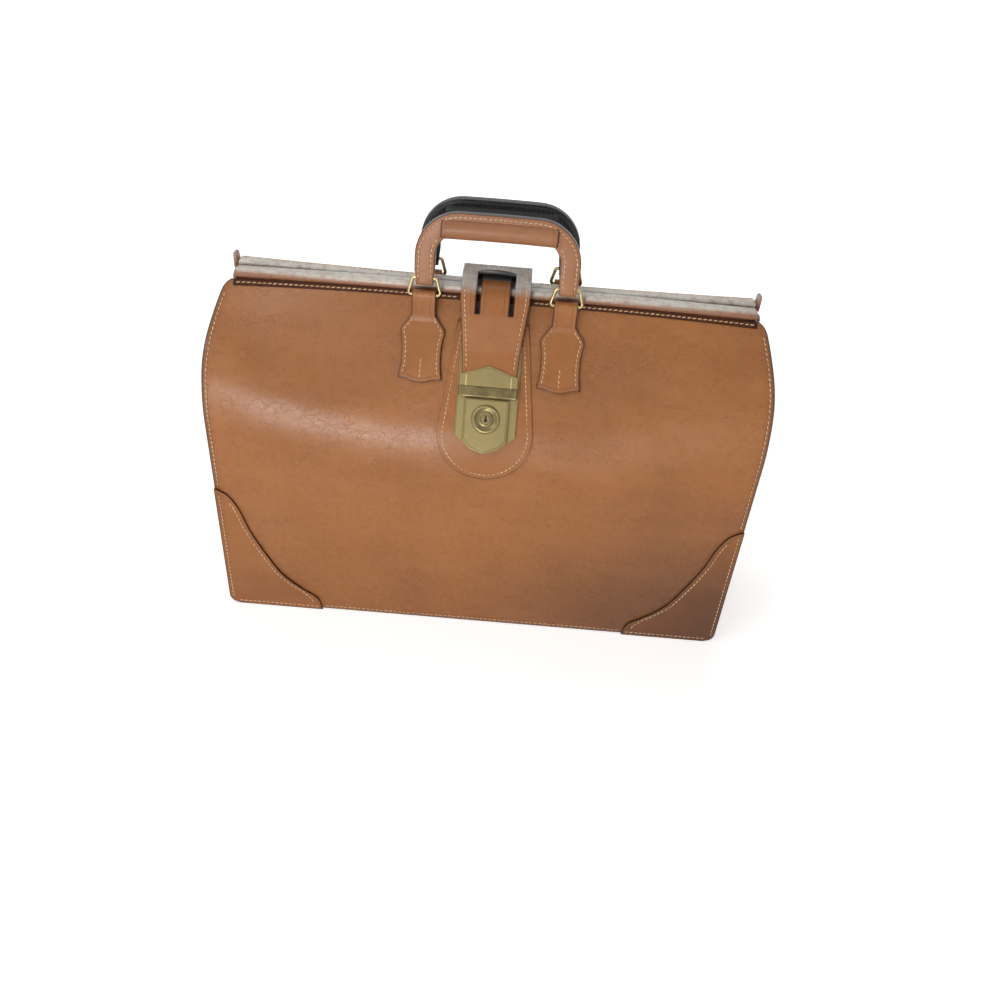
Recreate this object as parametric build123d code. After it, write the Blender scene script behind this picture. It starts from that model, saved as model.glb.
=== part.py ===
"""Frame-top leather briefcase, closed, standing on its base.

The frame is in millimetres: X to the viewer's right, front towards -Y, +Z up, and the origin at the
middle of the base on the floor. The back half mirrors the front half, except for the lock and strap.
"""

from build123d import *
from math import atan2, cos, degrees, hypot, pi, radians, sin, tan
import os

# Overall size
CASE_WIDTH = 430.0
CASE_DEPTH = 130.0
HALF_WIDTH = CASE_WIDTH / 2
HALF_DEPTH = CASE_DEPTH / 2
FACING_GAP = 0.15
MOVING_GAP = 0.4

# Leather and board thicknesses
PANEL_THICKNESS = 3.2
GUSSET_THICKNESS = 2.4
PATCH_THICKNESS = 1.6
TAB_THICKNESS = 3.4
BASE_THICKNESS = 3.5
BOARD_THICKNESS = 2.4

# Front surface, as wall and roof lines that meet in a rounded shoulder
MIDDLE_ZONE = 76.0
MIDDLE_SHOULDER = (-67.0, 181.0)
MIDDLE_MARK = (-14.5, 275.0)
MIDDLE_TOP = (-9.92, 283.2)
MIDDLE_RADIUS = 40.0
SIDE_SHOULDER = (-69.0, 229.0)
SIDE_TOP = (-9.9, 280.2)
SIDE_RADIUS = 45.0
PANEL_TOP_HALF_WIDTH = 200.5
PANEL_CORNER = (207.8, 273.0)
PANEL_CORNER_START = 226.0
PANEL_FOOT_RADIUS = 9.0

# Frame bars, arms and the rivets that the two frames turn on
BAR_LENGTH = 397.0
BAR_SPLIT = 0.8
BAR_DEPTH = 11.0
BAR_BOTTOM = 284.0
BAR_HEIGHT = 6.5
BAR_ROUNDING = 2.4
EAR_THICKNESS = 3.0
EAR_DEPTH = 10.0
EAR_HEIGHT = 12.5
STEEL_DEPTH = 6.4
STEEL_HEIGHT = 3.0
ARM_THICKNESS = 2.6
ARM_WIDTH = 5.6
ARM_TOP_Y = -4.2
ARM_EYE_RADIUS = 4.4
ARM_GAP = 0.5
FRONT_ARM_X = 190.5
RIVET_Z = 221.0
RIVET_RADIUS = 2.4
RIVET_HEAD_RADIUS = 5.0
RIVET_HEAD = 1.6
RUNNING_GAP = 0.05

# Folded ends of the case
GUSSET_TOP = 262.0
GUSSET_FOLD = ((0.0, 3.0), (90.0, 11.0), (180.0, 30.0), (GUSSET_TOP, 56.0))
GUSSET_INSET = 1.0
GUSSET_TAPER = 0.14
CREASE_THICKENING = 1.3

# Boards and stiffeners inside the leather
BOARD_END_MARGIN = 16.0
BOARD_SIDE_MARGIN = 9.0
WALL_BOARD_HEIGHT = 130.0
STIFFENER_HALF_WIDTH = 72.0
STIFFENER_START = 8.0
STIFFENER_END = 96.0

# Tabs, rings and handles
TAB_X = 53.0
TAB_TOP = 268.5
TAB_LENGTH = 51.5
TAB_LOOP_WIDTH = 18.0
TAB_LOOP_FOOT = 10.0
TAB_HALF_WIDTHS = ((3.5, 9.2), (9.0, 12.5), (13.5, 16.8), (19.5, 16.2), (26.0, 15.2), (36.0, 15.4), (47.5, 17.0))
TAB_POINT = ((49.5, 8.0), (TAB_LENGTH, 0.0))
RING_PIVOT = (-21.0, 285.5)
RING_WIRE = 1.25
RING_HEIGHT = 13.0
RING_FOOT_WIDTH = 24.5
RING_HEAD_WIDTH = 17.5
RING_CORNER = 2.2
LOOP_WALL = 1.9
LOOP_SLOT = 3.0
HANDLE_LEAN = 4.0
HANDLE_HALF_WIDTH = 60.5
HANDLE_LEG_WIDTH = 15.0
HANDLE_THICKNESS = 7.0
HANDLE_RISE = 50.0
HANDLE_CORNER = 33.0
WINDOW_CORNER = 16.0
HANDLE_END_WIDTH = 12.6
HANDLE_CHEEK_LENGTH = 11.0
HANDLE_EYE_COVER = 4.2
GRIP_HALF_LENGTH = 42.0
GRIP_HEIGHT = 18.0
GRIP_DROP = 10.5
GRIP_DEPTH = 17.0

# Closing strap. Its slope places are measured down the front slope from the middle mark
STRAP_THICKNESS = 3.4
STRAP_TOP_WIDTH = 52.0
STRAP_END_WIDTH = 42.0
STRAP_TAPER = (286.0, 240.0)
STRAP_CROWN = 301.0
STRAP_JOIN_Y = 3.0
STRAP_BEND_Y = -2.0
STRAP_BEND_END = (-2.0, 9.8)
STRAP_LIFT = 4.4
STRAP_FLAT_FROM = 34.0
STRAP_END = 65.0
WINDOW_HALF_WIDTH = 14.25
WINDOW_BACK_Y = -4.5
WINDOW_FRONT_Y = -27.5
STRIP_HALF_WIDTH = 10.95
STRIP_THICKNESS = 2.6
STRIP_CROWN = 294.6
STRIP_BACK_Y = 9.5
STRIP_BEND_Y = -5.0
STRIP_BEND_END = (4.4, 10.1)
STRIP_END = (10.0, 9.9)
REAR_BEND_Y = 8.0
REAR_INNER_Y = 12.0
REAR_BOTTOM = 284.1
ANCHOR_TOP = 283.7
ANCHOR_BOTTOM = 197.0
ANCHOR_ROUNDING = 6.0

# Lock, measured down the front slope from the middle mark
LOCK_PATCH_HALF_WIDTH = 37.0
LOCK_PATCH_TOP_HALF_WIDTH = 27.0
LOCK_PATCH_BOTTOM = 156.0
LOCK_PATCH_TOP = 268.0
PLATE_THICKNESS = 1.2
PLATE_HALF_WIDTH = 23.5
PLATE_START = 26.0
PLATE_END = 99.0
PLATE_POINT = 4.0
LOCK_APEX = 109.0
LOCK_POINT = 9.0
LOCK_CHAMFER = 5.5
CASE_START = 67.0
CASE_HALF_WIDTH = 17.0
CASE_RAISE = 6.2
COLLAR_AT = 82.5
COLLAR_RADIUS = 11.0
COLLAR_RAISE = 1.8
PLUG_RADIUS = 3.75
PLUG_DEPTH = 1.0
PLUG_SUNK = 0.3
KEYHOLE_RADIUS = 1.3
KEYHOLE_LENGTH = 3.0
KEYHOLE_DEPTH = 3.0
HASP_START = 42.0
HASP_THICKNESS = 1.5
HASP_HALF_WIDTH = 22.0
HASP_POINT = 7.5
HASP_OVERHANG = 1.2
HASP_BAND_WIDTH = 6.0
HASP_BAND_HEIGHT = 1.4
HASP_RIVET_RADIUS = 1.2
HASP_RIVETS = ((-11.0, 56.0), (11.0, 56.0), (0.0, 51.0))
TONGUE_HALF_WIDTH = 4.0
TONGUE_LENGTH = 3.4
TONGUE_THICKNESS = 1.4
TONGUE_STEM = 0.9
TONGUE_LOW = 1.0
BOLT_LENGTH = 9.0
BOLT_HEIGHT = 3.0
BOLT_THICKNESS = 1.6
BOLT_REST_X = 6.0
BOLT_DOWN = 69.8
BOLT_LOW = 3.5
BOLT_TRAVEL = 8.1
BOLT_GAP = 0.3


def between(first, second, share):
    """Point part of the way from first to second."""
    return tuple(a + (b - a) * share for a, b in zip(first, second))


def unit(vector):
    """Vector of length one along a (y, z) pair."""
    size = hypot(*vector)
    return (vector[0] / size, vector[1] / size)


def shifted(point, direction, distance):
    """Point moved along a direction."""
    return (point[0] + direction[0] * distance, point[1] + direction[1] * distance)


def left_of(direction):
    """Outward normal of a line that climbs the front."""
    return (-direction[1], direction[0])


class FrontLine:
    """Wall, rounded shoulder and roof of the front surface in one upright slice across the case."""

    def __init__(self, share):
        self.foot = (-HALF_DEPTH, 0.0)
        self.shoulder = between(MIDDLE_SHOULDER, SIDE_SHOULDER, share)
        self.top = between(MIDDLE_TOP, SIDE_TOP, share)
        self.radius = MIDDLE_RADIUS + (SIDE_RADIUS - MIDDLE_RADIUS) * share
        self.wall = unit((self.shoulder[0] - self.foot[0], self.shoulder[1] - self.foot[1]))
        self.roof = unit((self.top[0] - self.shoulder[0], self.top[1] - self.shoulder[1]))
        self.wall_out = left_of(self.wall)
        self.roof_out = left_of(self.roof)

    def offset(self, distance, foot_z):
        """Five points of the line moved outwards: foot, arc start, arc middle, arc end and top."""
        spread = 1 + self.wall_out[0] * self.roof_out[0] + self.wall_out[1] * self.roof_out[1]
        bisector = (self.wall_out[0] + self.roof_out[0], self.wall_out[1] + self.roof_out[1])
        corner = shifted(self.shoulder, bisector, distance / spread)
        radius = self.radius + distance
        turn = atan2(self.wall[1], self.wall[0]) - atan2(self.roof[1], self.roof[0])
        reach = radius * tan(turn / 2)
        start = shifted(corner, self.wall, -reach)
        end = shifted(corner, self.roof, reach)
        centre = shifted(start, self.wall_out, -radius)
        middle = shifted(centre, unit(bisector), radius)
        foot = shifted(start, self.wall, (foot_z - start[1]) / self.wall[1])
        return foot, start, middle, end, shifted(self.top, self.roof_out, distance)

    def face(self, x, low, high, foot_z=0.0):
        """Face at x between two outward offsets of the line."""
        inner = [(x, *point) for point in self.offset(low, foot_z)]
        outer = [(x, *point) for point in self.offset(high, foot_z)]
        edges = [
            Line(inner[0], inner[1]),
            ThreePointArc(inner[1], inner[2], inner[3]),
            Line(inner[3], inner[4]),
            Line(inner[4], outer[4]),
            Line(outer[4], outer[3]),
            ThreePointArc(outer[3], outer[2], outer[1]),
            Line(outer[1], outer[0]),
            Line(outer[0], inner[0]),
        ]
        return Face(Wire(edges))


MIDDLE = FrontLine(0.0)
DOWN = (-MIDDLE.roof[0], -MIDDLE.roof[1])
OUT = MIDDLE.roof_out
SLOPE = degrees(atan2(MIDDLE.roof[1], MIDDLE.roof[0]))


def slope_point(down, out):
    """(y, z) of a place given by its way down the middle slope from the mark and its height off it."""
    return shifted(shifted(MIDDLE_MARK, DOWN, down), OUT, out)


def slope_plane(down=0.0, out=0.0):
    """Plane on the middle slope, with x across the case and y up the slope."""
    return Plane(origin=(0, *slope_point(down, out)), x_dir=(1, 0, 0), z_dir=(0, *OUT))


def mirrored(shape, plane=Plane.XZ):
    """Copy on the other side of the case."""
    return mirror(shape, about=plane)


def both_ends(shape):
    """Shape with its copy at the other end of the case."""
    return Compound(children=[*shape.solids(), *mirrored(shape, Plane.YZ).solids()])


def front_layer(low, high, foot_z=0.0):
    """Whole-width layer between two offsets of the front surface."""
    middle = extrude(MIDDLE.face(-MIDDLE_ZONE, low, high, foot_z), amount=2 * MIDDLE_ZONE, dir=(1, 0, 0))
    steps = (0.0, 0.35, 0.7, 1.0)
    faces = []
    for step in steps:
        x = MIDDLE_ZONE + (HALF_WIDTH - MIDDLE_ZONE) * step
        faces.append(FrontLine(step**1.5).face(x, low, high, foot_z))
    wing = loft(faces)
    return middle + wing + mirrored(wing, Plane.YZ)


def middle_layer(low, high, half_width, foot_z=0.0):
    """Layer on the middle zone only, where the slope is the same all across."""
    face = MIDDLE.face(-half_width, low, high, foot_z)
    return extrude(face, amount=2 * half_width, dir=(1, 0, 0))


def front_prism(outline):
    """Outline in the XZ plane pushed through the front half of the case."""
    return extrude(Plane.XZ * outline, amount=HALF_DEPTH * 1.5)


def closed_outline(curves):
    """Face from a run of curves that ends where it starts."""
    return make_face([edge for curve in curves for edge in curve.edges()])


def panel_outline():
    """Front view of a panel: square foot with small corners, and narrowing rounded shoulders."""
    right = [
        (HALF_WIDTH - PANEL_FOOT_RADIUS, 0.0),
        (HALF_WIDTH, PANEL_FOOT_RADIUS),
        (HALF_WIDTH, PANEL_CORNER_START),
        PANEL_CORNER,
        (PANEL_TOP_HALF_WIDTH, SIDE_TOP[1] + FACING_GAP),
        (PANEL_TOP_HALF_WIDTH, SIDE_TOP[1] + PANEL_FOOT_RADIUS),
    ]
    side = TangentArc(right[2], right[3], tangent=(0, 1))
    half = [
        TangentArc(right[0], right[1], tangent=(1, 0)),
        Line(right[1], right[2]),
        side,
        TangentArc(right[3], right[4], tangent=side % 1),
        Line(right[4], right[5]),
    ]
    other = [mirrored(curve, Plane.YZ) for curve in half]
    foot = Line((-right[0][0], 0.0), right[0])
    head = Line(right[5], (-right[5][0], right[5][1]))
    return closed_outline([foot, *half, head, *other])


def make_panel():
    """Front panel: one sheet of leather from the base over the shoulder to the bar."""
    return front_layer(-PANEL_THICKNESS, 0.0) & front_prism(panel_outline())


def make_corner_patch():
    """Reinforcing patch at the right foot of the front panel, with an S-shaped free edge."""
    free_edge = [(0, 125), (9, 120), (17, 108), (25, 84), (37, 58), (51, 35), (67, 21), (77, 14), (82, 0)]
    points = [(HALF_WIDTH - inset, z) for inset, z in free_edge]
    outline = closed_outline([Spline(points), Line(points[-1], (HALF_WIDTH, 0)), Line((HALF_WIDTH, 0), points[0])])
    layer = front_layer(FACING_GAP, PATCH_THICKNESS)
    return layer & front_prism(outline) & front_prism(panel_outline())


def make_gusset():
    """Right gusset: a leather end that folds inwards between the panels, deeper towards the top."""
    faces = []
    for z, fold in GUSSET_FOLD:
        side = FrontLine(1.0)
        mouth = -gusset_edge(side, z)
        outer = HALF_WIDTH - GUSSET_INSET - max(0.0, (z - PANEL_CORNER_START) * GUSSET_TAPER)
        shape = [(outer, -mouth), (outer - fold, 0.0), (outer, mouth)]
        crease = outer - fold - GUSSET_THICKNESS * CREASE_THICKENING
        inner = [(outer - GUSSET_THICKNESS, mouth), (crease, 0.0)]
        inner.append((outer - GUSSET_THICKNESS, -mouth))
        points = [(x, y, z) for x, y in shape + inner]
        faces.append(Face(Wire.make_polygon(points)))
    return loft(faces, ruled=True)


def gusset_edge(side, z):
    """y of the panel's inner face at a height, less a small gap."""
    inner = side.offset(-PANEL_THICKNESS - MOVING_GAP, 0.0)
    foot, start, middle, end, top = inner
    if z <= start[1]:
        return foot[0] + (start[0] - foot[0]) * z / start[1]
    share = (z - end[1]) / (top[1] - end[1])
    return end[0] + (top[0] - end[0]) * max(0.0, share)


def make_base():
    """Leather base panel that closes the bottom between the panels."""
    depth = CASE_DEPTH - 2 * PANEL_THICKNESS - 4 * FACING_GAP
    width = CASE_WIDTH - 2 * PANEL_FOOT_RADIUS
    return Pos(0, 0, BASE_THICKNESS / 2) * Box(width, depth, BASE_THICKNESS)


def make_base_board():
    """Stiff board on the base."""
    z = BASE_THICKNESS + FACING_GAP + BOARD_THICKNESS / 2
    width = CASE_WIDTH - 2 * BOARD_END_MARGIN
    return Pos(0, 0, z) * Box(width, CASE_DEPTH - 2 * BOARD_SIDE_MARGIN, BOARD_THICKNESS)


def make_wall_board():
    """Lined board that stands against the inside of the front wall."""
    low = -PANEL_THICKNESS - FACING_GAP - BOARD_THICKNESS
    high = -PANEL_THICKNESS - FACING_GAP
    foot = BASE_THICKNESS + 2 * FACING_GAP + BOARD_THICKNESS
    board = middle_layer(low, high, HALF_WIDTH - BOARD_END_MARGIN, foot)
    trim = Pos(0, 0, foot + WALL_BOARD_HEIGHT / 2) * Box(CASE_WIDTH, CASE_DEPTH * 2, WALL_BOARD_HEIGHT)
    return board & trim


def make_lock_stiffener():
    """Stiffener behind the lock and the tabs, inside the front slope."""
    low = -PANEL_THICKNESS - FACING_GAP - BOARD_THICKNESS
    high = -PANEL_THICKNESS - FACING_GAP
    layer = middle_layer(low, high, STIFFENER_HALF_WIDTH)
    middle = (STIFFENER_START + STIFFENER_END) / 2
    trim = slope_plane(middle) * Box(CASE_WIDTH, STIFFENER_END - STIFFENER_START, HALF_DEPTH)
    return layer & trim


def bar_box(depth, height, length):
    """Block along the front bar's own middle."""
    y = -BAR_SPLIT - BAR_DEPTH / 2
    z = BAR_BOTTOM + BAR_HEIGHT / 2
    return Pos(0, y, z) * Box(length, depth, height)


def make_frame_steel(arm_x):
    """Steel bar with an arm at each end that runs down to an eye for the rivet."""
    bar = bar_box(STEEL_DEPTH, STEEL_HEIGHT, 2 * (arm_x + ARM_THICKNESS))
    drop = BAR_BOTTOM + BAR_HEIGHT / 2 - RIVET_Z
    length = hypot(ARM_TOP_Y, drop)
    tilt = degrees(atan2(ARM_TOP_Y, drop))
    sketch = Pos(0, length / 2) * Rectangle(ARM_WIDTH, length) + Circle(ARM_EYE_RADIUS)
    plane = Plane(origin=(arm_x, 0, RIVET_Z), x_dir=(0, 1, 0), z_dir=(1, 0, 0))
    arm = extrude(plane * (Rot(0, 0, -tilt) * sketch), amount=ARM_THICKNESS)
    hole = plane * Cylinder(RIVET_RADIUS + RUNNING_GAP, ARM_THICKNESS * 4)
    arm = arm - hole
    return bar + arm + mirrored(arm, Plane.YZ)


def make_bar_cover(steel):
    """Leather wrapped and stitched round the steel bar."""
    block = bar_box(BAR_DEPTH, BAR_HEIGHT, BAR_LENGTH)
    along = block.edges().filter_by(Axis.X)
    cover = fillet(along, BAR_ROUNDING)
    return cover - steel


def make_rivets(front_x, back_x):
    """Rivet at each end that both frames turn on, with a flat head on each side."""
    start = front_x - ARM_GAP
    end = back_x + ARM_THICKNESS + ARM_GAP
    axis = Plane(origin=(start, 0, RIVET_Z), x_dir=(0, 1, 0), z_dir=(1, 0, 0))
    shank = extrude(axis * Circle(RIVET_RADIUS), amount=end - start)
    inner = extrude(axis * Circle(RIVET_HEAD_RADIUS), amount=-RIVET_HEAD)
    outer_axis = Plane(origin=(end, 0, RIVET_Z), x_dir=(0, 1, 0), z_dir=(1, 0, 0))
    outer = extrude(outer_axis * Circle(RIVET_HEAD_RADIUS), amount=RIVET_HEAD)
    return both_ends(shank + inner + outer)


def ring_plane():
    """Plane of the front rings and handle: x across, y up along the lean, origin at the ring's foot."""
    lean = radians(HANDLE_LEAN)
    return Plane(origin=(0, *RING_PIVOT), x_dir=(1, 0, 0), z_dir=(0, -cos(lean), sin(lean)))


def make_tab():
    """Right front tab: a shaped leather strap on the slope, with a loop round the ring's foot."""
    top = TAB_TOP
    half_shape = [(0.0, TAB_LOOP_WIDTH / 2), *TAB_HALF_WIDTHS, *TAB_POINT]
    drop = sin(radians(SLOPE))
    right = [(TAB_X + half, top - way * drop) for way, half in half_shape]
    left = [(TAB_X - half, top - way * drop) for way, half in half_shape]
    edges = [Line(left[0], right[0]), Polyline(right), Polyline(left)]
    body = middle_layer(FACING_GAP, TAB_THICKNESS, MIDDLE_ZONE - 1) & front_prism(closed_outline(edges))
    return body + make_tab_loop()


def make_tab_loop():
    """Loop that joins the top of the tab to the ring's foot."""
    wall = RING_WIRE + MOVING_GAP + LOOP_WALL
    foot = slope_point(TAB_LOOP_FOOT, TAB_THICKNESS / 2 + FACING_GAP / 2)
    plane = Plane(origin=(TAB_X - TAB_LOOP_WIDTH / 2, 0, 0), x_dir=(0, 1, 0), z_dir=(1, 0, 0))
    reach = unit((RING_PIVOT[0] - foot[0], RING_PIVOT[1] - foot[1]))
    side = left_of(reach)
    near = TAB_THICKNESS / 2 - FACING_GAP / 2
    strap = Polyline(
        shifted(foot, side, near),
        shifted(RING_PIVOT, side, wall - RUNNING_GAP),
        shifted(RING_PIVOT, side, -wall + RUNNING_GAP),
        shifted(foot, side, -near),
        close=True,
    )
    outer = make_face(strap) + Pos(*RING_PIVOT) * Circle(wall)
    slot_end = shifted(RING_PIVOT, reach, -LOOP_SLOT)
    slot = Pos(*RING_PIVOT) * Circle(RING_WIRE + MOVING_GAP) + Pos(*slot_end) * Circle(RING_WIRE + MOVING_GAP)
    loop = extrude(plane * (outer - slot), amount=TAB_LOOP_WIDTH)
    return loop - middle_layer(-MIDDLE_RADIUS / 2, FACING_GAP, MIDDLE_ZONE)


def make_ring():
    """Right front ring: a trapezium of brass wire, wide at the foot."""
    foot = RING_FOOT_WIDTH / 2
    head = RING_HEAD_WIDTH / 2
    corners = [(-foot, 0), (foot, 0), (head, RING_HEIGHT), (-head, RING_HEIGHT)]
    path = FilletPolyline(*corners, close=True, radius=RING_CORNER)
    wire = sweep(Plane(path @ 0, z_dir=path % 0) * Circle(RING_WIRE), path=path)
    return ring_plane() * (Pos(TAB_X, 0, 0) * wire)


def handle_outline(inset, corner):
    """Arch of the handle in its own plane, moved inwards by inset from the outer edge."""
    half = HANDLE_HALF_WIDTH - inset
    top = RING_HEIGHT + HANDLE_RISE - inset
    low = RING_HEIGHT - HANDLE_EYE_COVER
    edges = [
        Line((-half, low), (-half, top - corner)),
        ThreePointArc(
            (-half, top - corner),
            (-half + corner * (1 - cos(pi / 4)), top - corner * (1 - sin(pi / 4))),
            (-half + corner, top),
        ),
        Line((-half + corner, top), (half - corner, top)),
        ThreePointArc(
            (half - corner, top),
            (half - corner * (1 - cos(pi / 4)), top - corner * (1 - sin(pi / 4))),
            (half, top - corner),
        ),
        Line((half, top - corner), (half, low)),
        Line((half, low), (-half, low)),
    ]
    return closed_outline(edges)


def make_handle_arch():
    """Arched handle strap of stitched layers, with an eye at each foot for the ring."""
    outline = handle_outline(0.0, HANDLE_CORNER) - handle_outline(HANDLE_LEG_WIDTH, WINDOW_CORNER)
    arch = extrude(outline, amount=HANDLE_THICKNESS / 2, both=True)
    leg = HANDLE_HALF_WIDTH - HANDLE_LEG_WIDTH / 2
    cheek = (HANDLE_LEG_WIDTH - HANDLE_END_WIDTH) / 2
    for side in (-1, 1):
        for edge in (-1, 1):
            x = side * leg + edge * (HANDLE_LEG_WIDTH / 2 - cheek / 2)
            arch = arch - Pos(x, RING_HEIGHT, 0) * Box(cheek, HANDLE_CHEEK_LENGTH, HANDLE_THICKNESS * 2)
    eye_radius = RING_WIRE + MOVING_GAP
    eye = Pos(0, RING_HEIGHT, 0) * Rot(0, 90, 0) * Cylinder(eye_radius, HANDLE_HALF_WIDTH * 3)
    return ring_plane() * (arch - eye)


def make_grip(arch):
    """Rounded leather grip wrapped round the middle of the handle."""
    middle = RING_HEIGHT + HANDLE_RISE - GRIP_DROP
    section = Plane.YZ * Ellipse(GRIP_HEIGHT / 2, GRIP_DEPTH / 2)
    grip = Pos(0, middle, 0) * extrude(section, amount=GRIP_HALF_LENGTH, both=True)
    return ring_plane() * grip - arch


def band_between(outer, inner, half_width):
    """Bent strip across the case between two runs of curves that are drawn the same way."""
    curves = [*outer, Line(outer[-1] @ 1, inner[-1] @ 1), *inner, Line(inner[0] @ 0, outer[0] @ 0)]
    plane = Plane(origin=(-half_width, 0, 0), x_dir=(0, 1, 0), z_dir=(1, 0, 0))
    return extrude(plane * closed_outline(curves), amount=2 * half_width)


def strap_line(offset):
    """Side view of the closing strap's underside, moved outwards: crown, bend and slope."""
    crown = STRAP_CROWN - STRAP_THICKNESS + offset
    bend_start = (STRAP_BEND_Y, crown)
    bend_end = slope_point(STRAP_BEND_END[0], STRAP_BEND_END[1] + offset)
    flat = slope_point(STRAP_FLAT_FROM, STRAP_LIFT + offset)
    return [
        Line((STRAP_JOIN_Y, crown), bend_start),
        TangentArc(bend_start, bend_end, tangent=(-1, 0)),
        Line(bend_end, flat),
        Line(flat, slope_point(STRAP_END, STRAP_LIFT + offset)),
    ]


def make_strap():
    """Closing strap from the crown over the front bar and down the slope, with a long window in it."""
    band = band_between(strap_line(STRAP_THICKNESS), strap_line(0.0), STRAP_TOP_WIDTH / 2)
    wide = STRAP_TOP_WIDTH / 2
    narrow = STRAP_END_WIDTH / 2
    head = STRAP_CROWN + STRAP_THICKNESS
    foot = slope_point(STRAP_END, 0)[1] - STRAP_THICKNESS
    right = [(wide, head), (wide, STRAP_TAPER[0]), (narrow, STRAP_TAPER[1]), (narrow, foot)]
    left = [(-x, z) for x, z in reversed(right)]
    outline = make_face(Polyline(*right, *left, close=True))
    band = band & extrude(Plane.XZ * outline, amount=CASE_DEPTH, both=True)
    return band - window_block(WINDOW_HALF_WIDTH, WINDOW_FRONT_Y, WINDOW_BACK_Y)


def window_block(half_width, front, back):
    """Block through the strap between two places along y."""
    return Pos(0, (front + back) / 2, STRAP_CROWN) * Box(2 * half_width, back - front, HALF_DEPTH)


def strip_line(offset):
    """Side view of the middle strip's underside, moved outwards."""
    crown = STRIP_CROWN - STRIP_THICKNESS + offset
    bend_start = (STRIP_BEND_Y, crown)
    drop = offset - STRIP_THICKNESS / 2
    bend_end = slope_point(STRIP_BEND_END[0], STRIP_BEND_END[1] + drop)
    end = slope_point(STRIP_END[0], STRIP_END[1] + drop)
    bend = TangentArc(bend_start, bend_end, tangent=(-1, 0))
    return [Line((STRIP_BACK_Y, crown), bend_start), bend, Line(bend_end, end)]


def make_middle_strip(strap):
    """Strip in the strap's window, which passes under the crown and over both bars."""
    band = band_between(strip_line(STRIP_THICKNESS), strip_line(0.0), STRIP_HALF_WIDTH)
    reach = window_block(STRIP_HALF_WIDTH, WINDOW_FRONT_Y + 2 * FACING_GAP, HALF_DEPTH)
    return (band & reach) - strap


def rear_line(offset):
    """Side view of the rear bend's inner face, moved outwards: crown, bend and the drop behind the bar."""
    crown = STRAP_CROWN - STRAP_THICKNESS + offset
    back = REAR_INNER_Y + offset
    bend = crown - (back - REAR_BEND_Y)
    return [
        Line((back, REAR_BOTTOM), (back, bend)),
        TangentArc((back, bend), (REAR_BEND_Y, crown), tangent=(0, 1)),
        Line((REAR_BEND_Y, crown), (STRAP_JOIN_Y + FACING_GAP, crown)),
    ]


def make_rear_bend():
    """Rear bend of the strap, behind the back bar between the crown and the anchor."""
    return band_between(rear_line(STRAP_THICKNESS), rear_line(0.0), STRAP_TOP_WIDTH / 2)


def make_strap_anchor():
    """Rear part of the strap, stitched to the back slope below the bar."""
    layer = middle_layer(FACING_GAP, STRAP_THICKNESS, STRAP_TOP_WIDTH / 2)
    middle = (ANCHOR_TOP + ANCHOR_BOTTOM) / 2
    outline = Pos(0, middle) * Rectangle(STRAP_TOP_WIDTH, ANCHOR_TOP - ANCHOR_BOTTOM)
    outline = fillet(outline.vertices().sort_by(Axis.Y)[:2], ANCHOR_ROUNDING)
    return mirrored(layer & front_prism(outline))


def lock_outline(half_width, start, apex, shoulder):
    """Pentagon on the slope: straight sides, and a blunt point at the lower end."""
    points = [
        (-half_width, -start),
        (half_width, -start),
        (half_width, -apex + shoulder),
        (half_width - LOCK_CHAMFER, -apex + shoulder - LOCK_CHAMFER),
        (0, -apex),
        (-half_width + LOCK_CHAMFER, -apex + shoulder - LOCK_CHAMFER),
        (-half_width, -apex + shoulder),
    ]
    return make_face(Polyline(*points, close=True))


def raised(outline, low, high):
    """Solid on the slope between two heights off it."""
    return extrude(slope_plane(0, low) * outline, amount=high - low)


PLATE_LOW = PATCH_THICKNESS + 2 * FACING_GAP
PLATE_HIGH = PLATE_LOW + PLATE_THICKNESS
CASE_HIGH = PLATE_HIGH + CASE_RAISE
COLLAR_HIGH = CASE_HIGH + COLLAR_RAISE


def make_lock_patch():
    """Stitched leather patch under the lock, round at the bottom."""
    half = LOCK_PATCH_HALF_WIDTH
    middle = LOCK_PATCH_BOTTOM + half
    top = LOCK_PATCH_TOP
    head = LOCK_PATCH_TOP_HALF_WIDTH
    edges = [
        Line((-head, top), (-half, middle)),
        ThreePointArc((-half, middle), (0, LOCK_PATCH_BOTTOM), (half, middle)),
        Line((half, middle), (head, top)),
        Line((head, top), (-head, top)),
    ]
    return middle_layer(FACING_GAP, PATCH_THICKNESS, MIDDLE_ZONE - 2) & front_prism(closed_outline(edges))


def make_lock_plate():
    """Brass backplate whose sides run up behind the strap."""
    outline = lock_outline(PLATE_HALF_WIDTH, PLATE_START, PLATE_END, PLATE_POINT)
    return raised(outline, PLATE_LOW, PLATE_HIGH)


def tongue_slot():
    """Open slot in the top edge of the lock case that takes the tongue."""
    width = 2 * (TONGUE_HALF_WIDTH + 2 * BOLT_GAP)
    end = CASE_START + TONGUE_LENGTH + 4 * BOLT_GAP
    start = CASE_START - BOLT_GAP
    outline = Pos(0, -(start + end) / 2) * Rectangle(width, end - start)
    return raised(outline, PLATE_HIGH + TONGUE_LOW - MOVING_GAP, CASE_HIGH + BOLT_GAP)


def bolt_channel():
    """Channel in the lock case that the bolt slides along."""
    start = BOLT_REST_X - BOLT_TRAVEL - BOLT_GAP
    end = BOLT_REST_X + BOLT_LENGTH + BOLT_GAP
    outline = Pos((start + end) / 2, -BOLT_DOWN) * Rectangle(end - start, BOLT_HEIGHT + 2 * BOLT_GAP)
    low = PLATE_HIGH + BOLT_LOW - BOLT_GAP
    return raised(outline, low, low + BOLT_THICKNESS + 2 * BOLT_GAP)


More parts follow.
